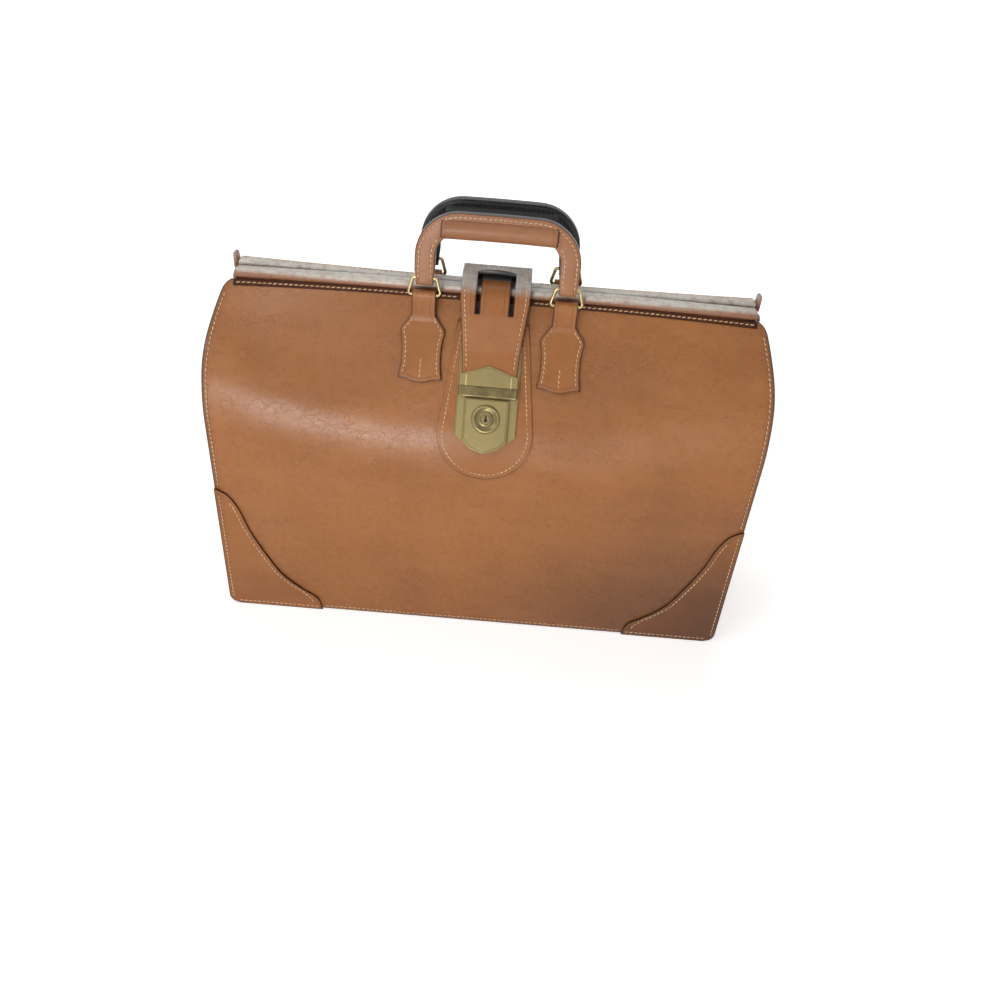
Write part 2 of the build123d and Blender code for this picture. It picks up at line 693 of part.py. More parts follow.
def make_lock_case():
    """Raised brass lock case, with its slot, bolt channel and plug hole."""
    block = raised(lock_outline(CASE_HALF_WIDTH, CASE_START, LOCK_APEX, LOCK_POINT), PLATE_HIGH, CASE_HIGH)
    hole = Pos(0, -COLLAR_AT) * Circle(PLUG_RADIUS + RUNNING_GAP)
    bore = raised(hole, PLATE_HIGH + PLUG_DEPTH, CASE_HIGH + BOLT_GAP)
    return block - bore - tongue_slot() - bolt_channel()


def make_bolt():
    """Small bolt that closes over the tongue when the key turns."""
    outline = Pos(BOLT_REST_X + BOLT_LENGTH / 2, -BOLT_DOWN) * Rectangle(BOLT_LENGTH, BOLT_HEIGHT)
    low = PLATE_HIGH + BOLT_LOW
    return raised(outline, low, low + BOLT_THICKNESS)


def make_collar():
    """Round collar about the key plug."""
    ring = Pos(0, -COLLAR_AT) * (Circle(COLLAR_RADIUS) - Circle(PLUG_RADIUS + RUNNING_GAP))
    return raised(ring, CASE_HIGH, COLLAR_HIGH)


def make_plug():
    """Key plug with a keyhole."""
    hole = Circle(KEYHOLE_RADIUS) + Pos(0, -KEYHOLE_LENGTH / 2) * Rectangle(KEYHOLE_RADIUS, KEYHOLE_LENGTH)
    low = PLATE_HIGH + PLUG_DEPTH + FACING_GAP
    plug = raised(Pos(0, -COLLAR_AT) * Circle(PLUG_RADIUS), low, COLLAR_HIGH - PLUG_SUNK)
    return plug - raised(Pos(0, -COLLAR_AT) * hole, CASE_HIGH - KEYHOLE_DEPTH, COLLAR_HIGH)


HASP_LOW = STRAP_LIFT + STRAP_THICKNESS + FACING_GAP
HASP_HIGH = HASP_LOW + HASP_THICKNESS


def make_hasp():
    """Brass hasp plate on the strap's end, pointed at the top, with a raised band at its lower edge."""
    half = HASP_HALF_WIDTH
    low = -STRAP_END - HASP_OVERHANG
    shoulder = -HASP_START - HASP_POINT
    points = [(-half, low), (half, low), (half, shoulder), (0, -HASP_START), (-half, shoulder)]
    plate = raised(make_face(Polyline(*points, close=True)), HASP_LOW, HASP_HIGH)
    band = Pos(0, low + HASP_BAND_WIDTH) * Rectangle(2 * half, HASP_BAND_WIDTH)
    return plate + raised(band, HASP_HIGH, HASP_HIGH + HASP_BAND_HEIGHT)


def make_tongue():
    """Tongue that hangs from the hasp's lower edge and lies in the lock case's slot."""
    width = 2 * TONGUE_HALF_WIDTH
    low = PLATE_HIGH + TONGUE_LOW
    start = STRAP_END + BOLT_GAP
    end = CASE_START + TONGUE_LENGTH
    stem = raised(Pos(0, -start - TONGUE_STEM / 2) * Rectangle(width, TONGUE_STEM), low, HASP_LOW)
    blade_outline = Pos(0, -(start + end) / 2) * Rectangle(width, end - start)
    return stem + raised(blade_outline, low, low + TONGUE_THICKNESS)


def make_hasp_rivets():
    """Three rivets through the strap's end that hold the hasp."""
    shanks = []
    for x, down in HASP_RIVETS:
        shank = raised(Pos(x, -down) * Circle(HASP_RIVET_RADIUS), STRAP_LIFT, HASP_LOW)
        shanks.extend(shank.solids())
    return Compound(children=shanks)


def make_ear():
    """Stitched leather ear that closes the end of the back bar and stands above it."""
    y = BAR_SPLIT + BAR_DEPTH / 2
    x = BAR_LENGTH / 2 + FACING_GAP + EAR_THICKNESS / 2
    return Pos(x, y, BAR_BOTTOM + EAR_HEIGHT / 2) * Box(EAR_THICKNESS, EAR_DEPTH, EAR_HEIGHT)


parts = {}
panel = make_panel()
parts["front_panel"] = panel
parts["back_panel"] = mirrored(panel)
patch = make_corner_patch()
parts["front_right_corner_patch"] = patch
parts["front_left_corner_patch"] = mirrored(patch, Plane.YZ)
parts["back_right_corner_patch"] = mirrored(patch)
parts["back_left_corner_patch"] = mirrored(mirrored(patch), Plane.YZ)
gusset = make_gusset()
parts["right_gusset"] = gusset
parts["left_gusset"] = mirrored(gusset, Plane.YZ)
parts["base_panel"] = make_base()
parts["base_board"] = make_base_board()
wall_board = make_wall_board()
parts["front_wall_board"] = wall_board
parts["back_wall_board"] = mirrored(wall_board)
stiffener = make_lock_stiffener()
parts["front_slope_stiffener"] = stiffener
parts["back_slope_stiffener"] = mirrored(stiffener)

back_arm_x = FRONT_ARM_X + ARM_THICKNESS + ARM_GAP
front_steel = make_frame_steel(FRONT_ARM_X)
back_steel = mirrored(make_frame_steel(back_arm_x))
parts["front_frame_steel"] = front_steel
parts["back_frame_steel"] = back_steel
parts["front_bar_cover"] = make_bar_cover(front_steel)
parts["back_bar_cover"] = mirrored(make_bar_cover(mirrored(back_steel)))
parts["frame_rivets"] = make_rivets(FRONT_ARM_X, back_arm_x)
parts["back_bar_ears"] = both_ends(make_ear())

tab = make_tab()
ring = make_ring()
arch = make_handle_arch()
grip = make_grip(arch)
parts["front_right_tab"] = tab
parts["front_left_tab"] = mirrored(tab, Plane.YZ)
parts["back_right_tab"] = mirrored(tab)
parts["back_left_tab"] = mirrored(mirrored(tab), Plane.YZ)
parts["front_right_ring"] = ring
parts["front_left_ring"] = mirrored(ring, Plane.YZ)
parts["back_right_ring"] = mirrored(ring)
parts["back_left_ring"] = mirrored(mirrored(ring), Plane.YZ)
parts["front_handle_strap"] = arch
parts["back_handle_strap"] = mirrored(arch)
parts["front_handle_grip"] = grip
parts["back_handle_grip"] = mirrored(grip)

rivets = make_hasp_rivets()
strap = make_strap() - rivets
parts["closing_strap"] = strap
parts["hasp_rivets"] = rivets
parts["hasp_plate"] = make_hasp()
parts["hasp_tongue"] = make_tongue()
parts["strap_middle_strip"] = make_middle_strip(strap)
parts["strap_rear_bend"] = make_rear_bend()
parts["strap_anchor"] = make_strap_anchor()
parts["lock_patch"] = make_lock_patch()
parts["lock_backplate"] = make_lock_plate()
parts["lock_case"] = make_lock_case()
parts["lock_collar"] = make_collar()
parts["key_plug"] = make_plug()
parts["lock_bolt"] = make_bolt()

os.makedirs("parts", exist_ok=True)
for name, shape in parts.items():
    export_step(shape, f"parts/{name}.step")
print(len(parts), "nodes, slope", round(SLOPE, 2))
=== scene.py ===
"""Looks of the frame-top leather briefcase: leather, thread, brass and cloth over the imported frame.

Sizes are written in millimetres and turned into metres where a mesh is finished. X runs to the viewer's
right, the front with the lock faces -Y, and Z points up from the floor.
"""

import logging
import math
import random
from dataclasses import dataclass, field
from enum import Enum
from functools import cached_property, lru_cache
from typing import Any, Callable, Iterable, Iterator, Sequence

import bmesh
import bpy
from bmesh.types import BMEdge, BMesh, BMVert
from bpy.types import Material, Mesh, Node, NodeSocket, NodeTree, Object, Scene
from mathutils import Matrix, Vector, noise


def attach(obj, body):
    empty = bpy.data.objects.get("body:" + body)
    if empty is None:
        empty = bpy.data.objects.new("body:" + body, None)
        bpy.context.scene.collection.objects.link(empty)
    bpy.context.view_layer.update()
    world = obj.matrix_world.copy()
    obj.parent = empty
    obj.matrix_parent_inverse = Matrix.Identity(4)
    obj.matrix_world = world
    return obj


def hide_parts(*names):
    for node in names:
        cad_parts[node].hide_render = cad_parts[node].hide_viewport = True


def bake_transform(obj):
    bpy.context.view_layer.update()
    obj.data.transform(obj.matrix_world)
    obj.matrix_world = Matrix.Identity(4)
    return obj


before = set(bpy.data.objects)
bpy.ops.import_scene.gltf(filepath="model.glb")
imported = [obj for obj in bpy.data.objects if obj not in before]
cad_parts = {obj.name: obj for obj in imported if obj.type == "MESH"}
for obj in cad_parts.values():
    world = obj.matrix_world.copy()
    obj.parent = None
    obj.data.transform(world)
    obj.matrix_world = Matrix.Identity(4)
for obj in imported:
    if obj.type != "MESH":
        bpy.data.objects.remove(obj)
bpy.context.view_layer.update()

MM = 0.001
LOG = logging.getLogger("briefcase")

Triple = tuple[float, float, float]
Pair = tuple[float, float]
Trail = list[tuple[Vector, Vector]]
Slice = tuple[Vector, Vector, Vector, Vector, Vector, float, float]


class Side(Enum):
    """The two long sides of the case, with the sign of their y."""

    FRONT = 1.0
    BACK = -1.0

    @property
    def word(self) -> str:
        """Name used in bodies and pieces."""
        return self.name.lower()

    def matrix(self, left: bool = False) -> Matrix:
        """Reflection that carries a front right piece to this side, and to the left if asked."""
        return Matrix.Diagonal((-1.0 if left else 1.0, self.value, 1.0, 1.0))


def corners() -> Iterator[tuple[Side, bool, str]]:
    """Each side of the case with each hand: the side, whether it is the left hand, and the hand's word.

    Returns:
        The sides and hands, one pair at a time.
    """
    for side in Side:
        yield side, False, "right"
        yield side, True, "left"


def steps(start: float, end: float, count: int) -> list[float]:
    """Evenly spaced values from start to end, both included."""
    return [start + (end - start) * index / count for index in range(count + 1)]


def held(value: float) -> float:
    """Value held between 0 and 1."""
    return min(1.0, max(0.0, value))


def curve_through(knots: Sequence[Pair]) -> Callable[[float], float]:
    """Smooth function through knots that are sorted by their first number.

    Args:
        knots: Pairs of position and value.

    Returns:
        A function that gives the value at any position, held flat outside the knots.
    """
    spans = [(b[1] - a[1]) / (b[0] - a[0]) for a, b in zip(knots, knots[1:])]
    slopes = [spans[0], *[0.0 if a * b <= 0 else (a + b) / 2 for a, b in zip(spans, spans[1:])], spans[-1]]

    def value(position: float) -> float:
        """Value of the smooth function at a position.

        Args:
            position: Where the value is asked for.

        Returns:
            The value.
        """
        position = min(max(position, knots[0][0]), knots[-1][0])
        index = max(i for i in range(len(spans)) if knots[i][0] <= position)
        (left, low), (right, high) = knots[index], knots[index + 1]
        width = right - left
        t = (position - left) / width
        return (
            low * (1 + 2 * t) * (1 - t) ** 2
            + slopes[index] * width * t * (1 - t) ** 2
            + high * t * t * (3 - 2 * t)
            + slopes[index + 1] * width * t * t * (t - 1)
        )

    return value


@dataclass(frozen=True)
class CaseSkin:
    """Outer surface of the case's front: wall, rounded shoulder and sloping roof in each upright slice."""

    half_width: float = 215.0
    half_depth: float = 65.0
    middle_zone: float = 76.0
    middle_shoulder: Pair = (-67.0, 181.0)
    middle_top: Pair = (-9.92, 283.2)
    shoulder_radius: float = 90.0
    side_shoulder: Pair = (-69.0, 229.0)
    side_top: Pair = (-9.9, 280.2)
    top_half_width: float = 200.5
    corner: Pair = (207.8, 273.0)
    corner_start: float = 226.0
    foot_radius: float = 9.0
    mark: Pair = (-14.5, 275.0)

    def share(self, x: float) -> float:
        """How far the slice at x has turned from the middle's shape to the end's."""
        beyond = max(0.0, abs(x) - self.middle_zone) / (self.half_width - self.middle_zone)
        return min(beyond, 1.0) ** 1.5

    @lru_cache(maxsize=None)
    def slice_at(self, share: float, height: float) -> Slice:
        """Wall, shoulder arc and roof of one slice.

        Args:
            share: 0 in the middle zone and 1 at the case's end.
            height: Distance outwards from the leather's outer face.

        Returns:
            Arc start, arc end, wall direction, roof direction, arc centre, arc radius and top height.
        """
        foot = Vector((-self.half_depth, 0.0))
        shoulder = Vector(self.middle_shoulder).lerp(Vector(self.side_shoulder), share)
        top = Vector(self.middle_top).lerp(Vector(self.side_top), share)
        wall = (shoulder - foot).normalized()
        roof = (top - shoulder).normalized()
        wall_out = Vector((-wall.y, wall.x))
        roof_out = Vector((-roof.y, roof.x))
        radius = self.shoulder_radius + height
        corner = shoulder + (wall_out + roof_out) * (height / (1 + wall_out.dot(roof_out)))
        turn = math.atan2(wall.y, wall.x) - math.atan2(roof.y, roof.x)
        reach = radius * math.tan(turn / 2)
        start = corner - wall * reach
        return start, corner + roof * reach, wall, roof, start - wall_out * radius, radius, top.y

    def point(self, x: float, z: float, height: float = 0.0) -> Vector:
        """Place on the surface, or a height off it, at x and z.

        Args:
            x: Distance from the middle.
            z: Height.
            height: Distance off the surface.

        Returns:
            The point.
        """
        start, end, wall, roof, centre, radius, _ = self.slice_at(self.share(x), height)
        if z <= start.y:
            y = start.x + wall.x / wall.y * (z - start.y)
        elif z >= end.y:
            y = end.x + roof.x / roof.y * (z - end.y)
        else:
            y = centre.x - math.sqrt(max(0.0, radius**2 - (z - centre.y) ** 2))
        return Vector((x, y, z))

    def normal(self, x: float, z: float) -> Vector:
        """Outward direction of the surface at x and z.

        Args:
            x: Distance from the middle.
            z: Height.

        Returns:
            Unit vector that points outwards.
        """
        across = self.point(x + 0.5, z) - self.point(x - 0.5, z)
        upward = self.point(x, z + 0.5) - self.point(x, z - 0.5)
        return across.cross(upward).normalized()

    def top(self, x: float) -> float:
        """Height of the panel's upper edge at x."""
        return self.slice_at(self.share(x), 0.0)[6]

    def half_span(self, z: float) -> float:
        """Half the panel's width at a height, with its small foot corners and rounded shoulders.

        Args:
            z: Height.

        Returns:
            Distance from the middle to the side edge.
        """
        if z < self.foot_radius:
            cut = self.foot_radius - math.sqrt(self.foot_radius**2 - (self.foot_radius - z) ** 2)
            return self.half_width - cut
        if z < self.corner_start:
            return self.half_width
        rise = self.corner[1] - self.corner_start
        inset = self.half_width - self.corner[0]
        radius = (inset**2 + rise**2) / (2 * inset)
        if z < self.corner[1]:
            return self.half_width - radius + math.sqrt(radius**2 - (z - self.corner_start) ** 2)
        turn = math.asin(rise / radius)
        chord = Vector((self.top_half_width, self.side_top[1] + 0.15)) - Vector(self.corner)
        small = chord.length / (2 * math.sin(math.atan2(-chord.x, chord.y) - turn))
        up = z - (self.corner[1] - small * math.sin(turn))
        reach = math.sqrt(max(0.0, small**2 - up**2))
        return max(self.top_half_width, self.corner[0] - small * math.cos(turn) + reach)

    def slope_frame(self) -> Matrix:
        """Frame of the middle slope at the mark: x across, y up the slope and z off it.

        Returns:
            Matrix from the slope's frame to the case's.
        """
        roof = (Vector(self.middle_top) - Vector(self.middle_shoulder)).normalized()
        rows = (
            (1.0, 0.0, 0.0, 0.0),
            (0.0, roof.x, -roof.y, self.mark[0]),
            (0.0, roof.y, roof.x, self.mark[1]),
            (0.0, 0.0, 0.0, 1.0),
        )
        return Matrix(rows)

    def trail(self, path: Iterable[Pair], height: float) -> Trail:
        """Points and outward directions along a path given as (x, z) pairs."""
        return [(self.point(x, z, height), self.normal(x, z)) for x, z in path]


SKIN = CaseSkin()


class Graph:
    """A node tree with short calls that add nodes and join them."""

    def __init__(self, tree: NodeTree) -> None:
        """Keeps the tree that nodes are added to."""
        self.tree = tree

    @classmethod
    def of_group(cls, name: str, vector: bool = True, **numbers: float) -> tuple["Graph", Any]:
        """Starts a shader node group.

        Args:
            name: Name of the group.
            vector: Whether it takes coordinates.
            numbers: Its other inputs with their defaults.

        Returns:
            The graph and the group's inputs by name.
        """
        tree = bpy.data.node_groups.new(name, "ShaderNodeTree")
        if vector:
            tree.interface.new_socket(name="Vector", in_out="INPUT", socket_type="NodeSocketVector")
        for label, default in numbers.items():
            socket = tree.interface.new_socket(name=label, in_out="INPUT", socket_type="NodeSocketFloat")
            socket.default_value = default
        graph = cls(tree)
        return graph, graph.add("NodeGroupInput").outputs

    def give(self, **values: NodeSocket) -> NodeTree:
        """Ends a group with its outputs.

        Args:
            values: The socket for each output, by its name.

        Returns:
            The group's tree.
        """
        for label in values:
            self.tree.interface.new_socket(name=label, in_out="OUTPUT", socket_type="NodeSocketFloat")
        self.add("NodeGroupOutput", values)
        return self.tree

    @cached_property
    def place(self) -> NodeSocket:
        """Object coordinates."""
        return self.add("ShaderNodeTexCoord").outputs["Object"]

    def join(self, value: Any, socket: NodeSocket) -> None:
        """Links a socket to an input, or writes a number or colour there.

        Args:
            value: Output socket, number, vector or colour without its alpha.
            socket: The input.
        """
        if isinstance(value, NodeSocket):
            self.tree.links.new(value, socket)
        else:
            socket.default_value = (*value, 1.0) if socket.type == "RGBA" else value

    def add(self, kind: str, inputs: dict[Any, Any] | None = None, **settings: Any) -> Node:
        """Adds a node.

        Args:
            kind: Blender's name for the node's type.
            inputs: Values or output sockets, by the name or number of the input.
            settings: Attributes of the node itself.

        Returns:
            The new node.
        """
        node = self.tree.nodes.new(kind)
        for name, value in settings.items():
            setattr(node, name, value)
        for key, value in (inputs or {}).items():
            self.join(value, node.inputs[key])
        return node

    def group(self, tree: NodeTree, **inputs: Any) -> Any:
        """Outputs of a shared node group with its inputs given by name."""
        return self.add("ShaderNodeGroup", inputs, node_tree=tree).outputs

    def attribute(self, name: str) -> NodeSocket:
        """Value marked at a piece's vertices."""
        return self.add("ShaderNodeAttribute", attribute_name=name).outputs["Fac"]

    def math(self, operation: str, first: Any, second: Any = 0.0) -> NodeSocket:
        """Result of a Math node."""
        return self.add("ShaderNodeMath", {0: first, 1: second}, operation=operation).outputs[0]

    def part(self, value: Any, share: Any) -> NodeSocket:
        """A share of a value."""
        return self.math("MULTIPLY", value, share)

    def rest(self, value: Any) -> NodeSocket:
        """One less a value."""
        return self.math("SUBTRACT", 1.0, value)

    def total(self, start: Any, *parts: tuple[NodeSocket, float]) -> NodeSocket:
        """Sum of a first value and weighted masks.

        Args:
            start: The first value.
            parts: Each mask with its weight.

        Returns:
            The sum.
        """
        for mask, weight in parts:
            start = self.math("ADD", start, self.part(mask, weight))
        return start

    def mix(self, factor: Any, first: Any, second: Any) -> NodeSocket:
        """Colour between two others, through the Mix node's colour sockets."""
        return self.add("ShaderNodeMix", {0: factor, 6: first, 7: second}, data_type="RGBA").outputs[2]

    def span(
        self, value: Any, low: float, high: float, to_low: float = 0.0, to_high: float = 1.0
    ) -> NodeSocket:
        """Value moved smoothly from one range to another and held inside it."""
        settings = {"Value": value, "From Min": low, "From Max": high, "To Min": to_low, "To Max": to_high}
        return self.add("ShaderNodeMapRange", settings, interpolation_type="SMOOTHSTEP").outputs[0]

    def stretched(self, vector: Any, scale: Triple, turn: Triple = (0, 0, 0)) -> NodeSocket:
        """Coordinates scaled along each axis and turned."""
        return self.add("ShaderNodeMapping", {"Vector": vector, "Scale": scale, "Rotation": turn}).outputs[0]

    def noise(self, vector: Any, scale: Any, detail: float = 3.0, rough: float = 0.55) -> NodeSocket:
        """Soft noise value."""
        inputs = {"Vector": vector, "Scale": scale, "Detail": detail, "Roughness": rough}
        return self.add("ShaderNodeTexNoise", inputs).outputs[0]

    def cells(self, vector: Any, scale: Any) -> NodeSocket:
        """Distance to the edge of irregular cells."""
        inputs = {"Vector": vector, "Scale": scale}
        return self.add("ShaderNodeTexVoronoi", inputs, feature="DISTANCE_TO_EDGE").outputs[0]

    def dress(self, shader: Node, tone: Any, rough: Any, height: Any, strength: float, distance: float) -> None:
        """Joins colour, roughness and relief to a Principled node.

        Args:
            shader: The Principled node.
            tone: Base colour.
            rough: Roughness.
            height: Height of the relief.
            strength: Strength of the bump.
            distance: Depth of the bump, in metres.
        """
        bump = self.add("ShaderNodeBump", {"Height": height, "Strength": strength, "Distance": distance})
        for label, value in {"Base Color": tone, "Roughness": rough, "Normal": bump.outputs[0]}.items():
            self.join(value, shader.inputs[label])


@lru_cache(maxsize=None)
def grain_group() -> NodeTree:
    """Pebbled leather grain: cells with fine noise over them, and pores where cells meet.

    Returns:
        The group, built once.
    """
    graph, given = Graph.of_group("leather_grain", Scale=900.0)
    edge = graph.cells(given["Vector"], given["Scale"])
    fine = graph.noise(given["Vector"], graph.part(given["Scale"], 2.3), 3.0, 0.6)
    height = graph.total(0.0, (graph.span(edge, 0.0, 0.12), 0.6), (fine, 0.5))
    return graph.give(Height=height, Pores=graph.rest(graph.span(edge, 0.0, 0.05)))


@lru_cache(maxsize=None)
def drift_group() -> NodeTree:
    """Slow drifts of tone and handling marks: broad clouds, long streaks and small mottles.

    Returns:
        The group, built once.
    """
    graph, given = Graph.of_group("tone_drift", Scale=12.0)
    place, scale = given["Vector"], given["Scale"]
    clouds = graph.span(graph.noise(place, scale, 3.0, 0.6), 0.3, 0.72)
    long_way = graph.stretched(place, (0.35, 1.0, 1.6))
    streaks = graph.span(graph.noise(long_way, graph.part(scale, 3.5), 4.0, 0.6), 0.42, 0.75)
    mottle = graph.span(graph.noise(place, graph.part(scale, 14.0), 3.0, 0.6), 0.4, 0.7)
    return graph.give(Clouds=clouds, Streaks=streaks, Mottle=mottle)


@lru_cache(maxsize=None)
def scuff_group() -> NodeTree:
    """Short thin scratches in two directions, broken up by broad noise.

    Returns:
        The group, built once.
    """
    graph, given = Graph.of_group("scuff_marks", Amount=0.5)
    marks = []
    for index, turn in enumerate((0.5, -0.9)):
        way = graph.stretched(given["Vector"], (18.0, 60.0, 420.0), (0.25 * index, turn, 0.4 + index))
        line = graph.noise(way, 1.0, 1.0, 0.4)
        thin = graph.math("ABSOLUTE", graph.math("SUBTRACT", line, 0.53 + 0.04 * index))
        marks.append(graph.rest(graph.span(thin, 0.0, 0.009)))
    patchy = graph.span(graph.noise(given["Vector"], 38.0, 2.0, 0.5), 0.56, 0.68)
    return graph.give(Mask=graph.part(graph.part(graph.math("MAXIMUM", *marks), patchy), given["Amount"]))


@lru_cache(maxsize=None)
def rim_group() -> NodeTree:
    """Darker burnished border, and the pressed groove that a stitch row lies in.

    Returns:
        The group, built once.
    """
    graph, given = Graph.of_group("burnished_rim", vector=False, Distance=50.0, Seam=4.0, Width=1.3)
    border = graph.rest(graph.span(given["Distance"], 0.1, given["Width"]))
    off = graph.math("ABSOLUTE", graph.math("SUBTRACT", given["Distance"], given["Seam"]))
    return graph.give(Border=border, Groove=graph.rest(graph.span(off, 0.3, 1.1)))


@lru_cache(maxsize=None)
def tarnish_group() -> NodeTree:
    """Blotches of old lacquer from two noises, and fine handling scratches on metal.

    Returns:
        The group, built once.
    """
    graph, given = Graph.of_group("metal_tarnish", Scale=90.0)
    broad = graph.noise(given["Vector"], given["Scale"], 4.0, 0.62)
    small = graph.noise(given["Vector"], graph.part(given["Scale"], 4.5), 4.0, 0.6)
    blotch = graph.span(graph.total(0.0, (broad, 0.65), (small, 0.35)), 0.4, 0.64)
    hair = graph.noise(graph.stretched(given["Vector"], (0.2, 1.0, 3.0), (0.6, 0.3, 0.1)), 1400.0, 2.0, 0.6)
    return graph.give(Blotch=blotch, Hairline=hair)


def principled(name: str) -> tuple[Graph, Node, Material]:
    """Starts a material.

    Args:
        name: Name of the material.

    Returns:
        Its graph, its Principled node and the material.
    """
    material = bpy.data.materials.new(name)
    material.use_nodes = True
    shader = next(node for node in material.node_tree.nodes if node.type == "BSDF_PRINCIPLED")
    return Graph(material.node_tree), shader, material


@dataclass(frozen=True)
class Finish:
    """What all finishes share: the name of their material."""

    name: str

    def material(self) -> Material:
        """Builds the material."""
        raise NotImplementedError


@dataclass(frozen=True)
class LeatherFinish(Finish):
    """Waxed leather: tone drift, pores, scuffs, a burnished border, a pressed seam, and painted sheen and
    painted shade where marked.
    """

    tan: Triple = (0.36, 0.134, 0.036)
    dark: Triple = (0.19, 0.063, 0.016)
    pale: Triple = (0.46, 0.2, 0.085)
    # bloom is the grey of a painted highlight; soil is the near-black of painted shade and darkening.
    bloom: Triple = (0.44, 0.42, 0.39)
    soil: Triple = (0.055, 0.02, 0.012)
    burnt: Triple = (0.035, 0.014, 0.008)
    gloss: float = 0.4
    grain: float = 850.0
    relief: float = 0.22
    creases: float = 0.25
    scuffs: float = 0.5
    seam: float = 4.0
    border: float = 1.3
    coat: float = 0.14
    coat_rough: float = 0.25
    shine: float = 0.24

    def cracks(self, graph: Graph) -> NodeSocket:
        """Fine crackle of the finish, in irregular cells that come and go.

        Args:
            graph: The material's graph.

        Returns:
            Mask that is 1 along a crack.
        """
        warp = graph.add("ShaderNodeTexNoise", {"Vector": graph.place, "Scale": 90.0, "Detail": 3.0}).outputs[
            "Color"
        ]
        shift = {0: warp, 1: (0.012, 0.012, 0.012), 2: graph.place}
        bent = graph.add("ShaderNodeVectorMath", shift, operation="MULTIPLY_ADD").outputs[0]
        edge = graph.cells(graph.stretched(bent, (0.5, 1.0, 1.0), (0.3, 0.5, 0.2)), 210.0)
        broken = graph.span(graph.noise(graph.place, 55.0, 3.0, 0.6), 0.4, 0.62)
        return graph.part(graph.rest(graph.span(edge, 0.0, 0.07)), broken)

    def material(self) -> Material:
        """Builds the material.

        Returns:
            The material, which reads the marks rim, bloom and soil.
        """
        graph, shader, material = principled(self.name)
        place = graph.place
        grain = graph.group(grain_group(), Vector=place, Scale=self.grain)
        drift = graph.group(drift_group(), Vector=place)
        scuff = graph.group(scuff_group(), Vector=place, Amount=self.scuffs)["Mask"]
        border = graph.group(rim_group(), Distance=graph.attribute("rim"), Seam=self.seam, Width=self.border)
        crack = self.cracks(graph)
        bloom = graph.attribute("bloom")
        patches = graph.span(graph.noise(place, 160.0, 4.0, 0.65), 0.25, 0.62, 0.45, 0.95)
        layers = (
            (drift["Clouds"], 0.34, self.dark),
            (drift["Streaks"], 0.2, self.pale),
            (drift["Mottle"], 0.13, self.dark),
            (grain["Pores"], 0.2, self.dark),
            (border["Groove"], 0.3, self.dark),
            (border["Border"], 0.85, self.burnt),
            # Painted shade and darkening where soil is marked, then a painted highlight, in patches, where
            # bloom is marked.
            (graph.attribute("soil"), 0.9, self.soil),
            (bloom, patches, self.bloom),
            (crack, 0.28, self.dark),
            (scuff, 1.0, self.pale),
        )
        tone = self.tan
        for mask, share, colour in layers:
            tone = graph.mix(graph.part(mask, share), tone, colour)
        rough = graph.total(
            self.gloss, (drift["Streaks"], 0.06), (scuff, 0.15), (drift["Mottle"], -0.06), (bloom, -0.12)
        )
        fold = graph.noise(graph.stretched(place, (22.0, 110.0, 110.0)), 1.0, 5.0, 0.62)
        height = graph.total(
            0.0, (fold, self.creases), (crack, -1.6 * self.creases), (grain["Height"], self.relief)
        )
        height = graph.total(height, (border["Groove"], -0.5), (scuff, -0.2))
        graph.dress(shader, tone, rough, height, 0.42, 0.0006)
        shader.inputs["Specular IOR Level"].default_value = self.shine
        shader.inputs["Coat Weight"].default_value = self.coat
        shader.inputs["Coat Roughness"].default_value = self.coat_rough
        return material


@dataclass(frozen=True)
class EdgeFinish(Finish):
    """Cut edge of stacked leather, inked and rubbed, with lines between its layers."""

    colour: Triple = (0.03, 0.022, 0.02)
    # Rubbed colour of the edge: wear only.
    worn: Triple = (0.13, 0.06, 0.03)
    line: Triple = (0.006, 0.005, 0.005)
    layer: float = 2.3
    gloss: float = 0.3
    shine: float = 0.35

    def material(self) -> Material:
        """Builds the material.

        Returns:
            The material, which reads the mark layer.
        """
        graph, shader, material = principled(self.name)
        drift = graph.group(drift_group(), Vector=graph.place, Scale=60.0)
        stacked = graph.math("SINE", graph.part(graph.attribute("layer"), math.pi / self.layer))
        flat = graph.span(graph.math("ABSOLUTE", stacked), 0.0, 0.35)
        tone = graph.mix(graph.part(drift["Mottle"], 0.55), self.colour, self.worn)
        tone = graph.mix(graph.part(graph.rest(flat), 0.8), tone, self.line)
        rough = graph.total(self.gloss, (drift["Streaks"], 0.2))
        height = graph.total(flat, (graph.noise(graph.place, 700.0, 3.0, 0.6), 0.4))
        graph.dress(shader, tone, rough, height, 0.6, 0.0004)
        shader.inputs["Specular IOR Level"].default_value = self.shine
        return material


@dataclass(frozen=True)
class MetalFinish(Finish):
    """Old metal: bright where it is rubbed, dull and dark in blotches."""

    bright: Triple = (0.185, 0.144, 0.062)
    dull: Triple = (0.066, 0.051, 0.024)
    gloss: float = 0.28
    blotches: float = 70.0
    metallic: float = 0.85
    rub: float = 1.9

    def material(self) -> Material:
        """Builds the material.

        Returns:
            The material, brighter on ridges.
        """
        graph, shader, material = principled(self.name)
        tarnish = graph.group(tarnish_group(), Vector=graph.place, Scale=self.blotches)
        blotch = tarnish["Blotch"]
        ridge = graph.span(graph.add("ShaderNodeNewGeometry").outputs["Pointiness"], 0.51, 0.58)
        rubbed = tuple(min(1.0, level * self.rub) for level in self.bright)
        tone = graph.mix(graph.part(blotch, 0.85), self.bright, self.dull)
        tone = graph.mix(graph.part(ridge, 0.6), tone, rubbed)
        height = graph.total(0.0, (tarnish["Hairline"], 0.3), (blotch, 0.25))
        graph.dress(shader, tone, graph.total(self.gloss, (blotch, 0.14)), height, 0.12, 0.0002)
        shader.inputs["Metallic"].default_value = self.metallic
        return material


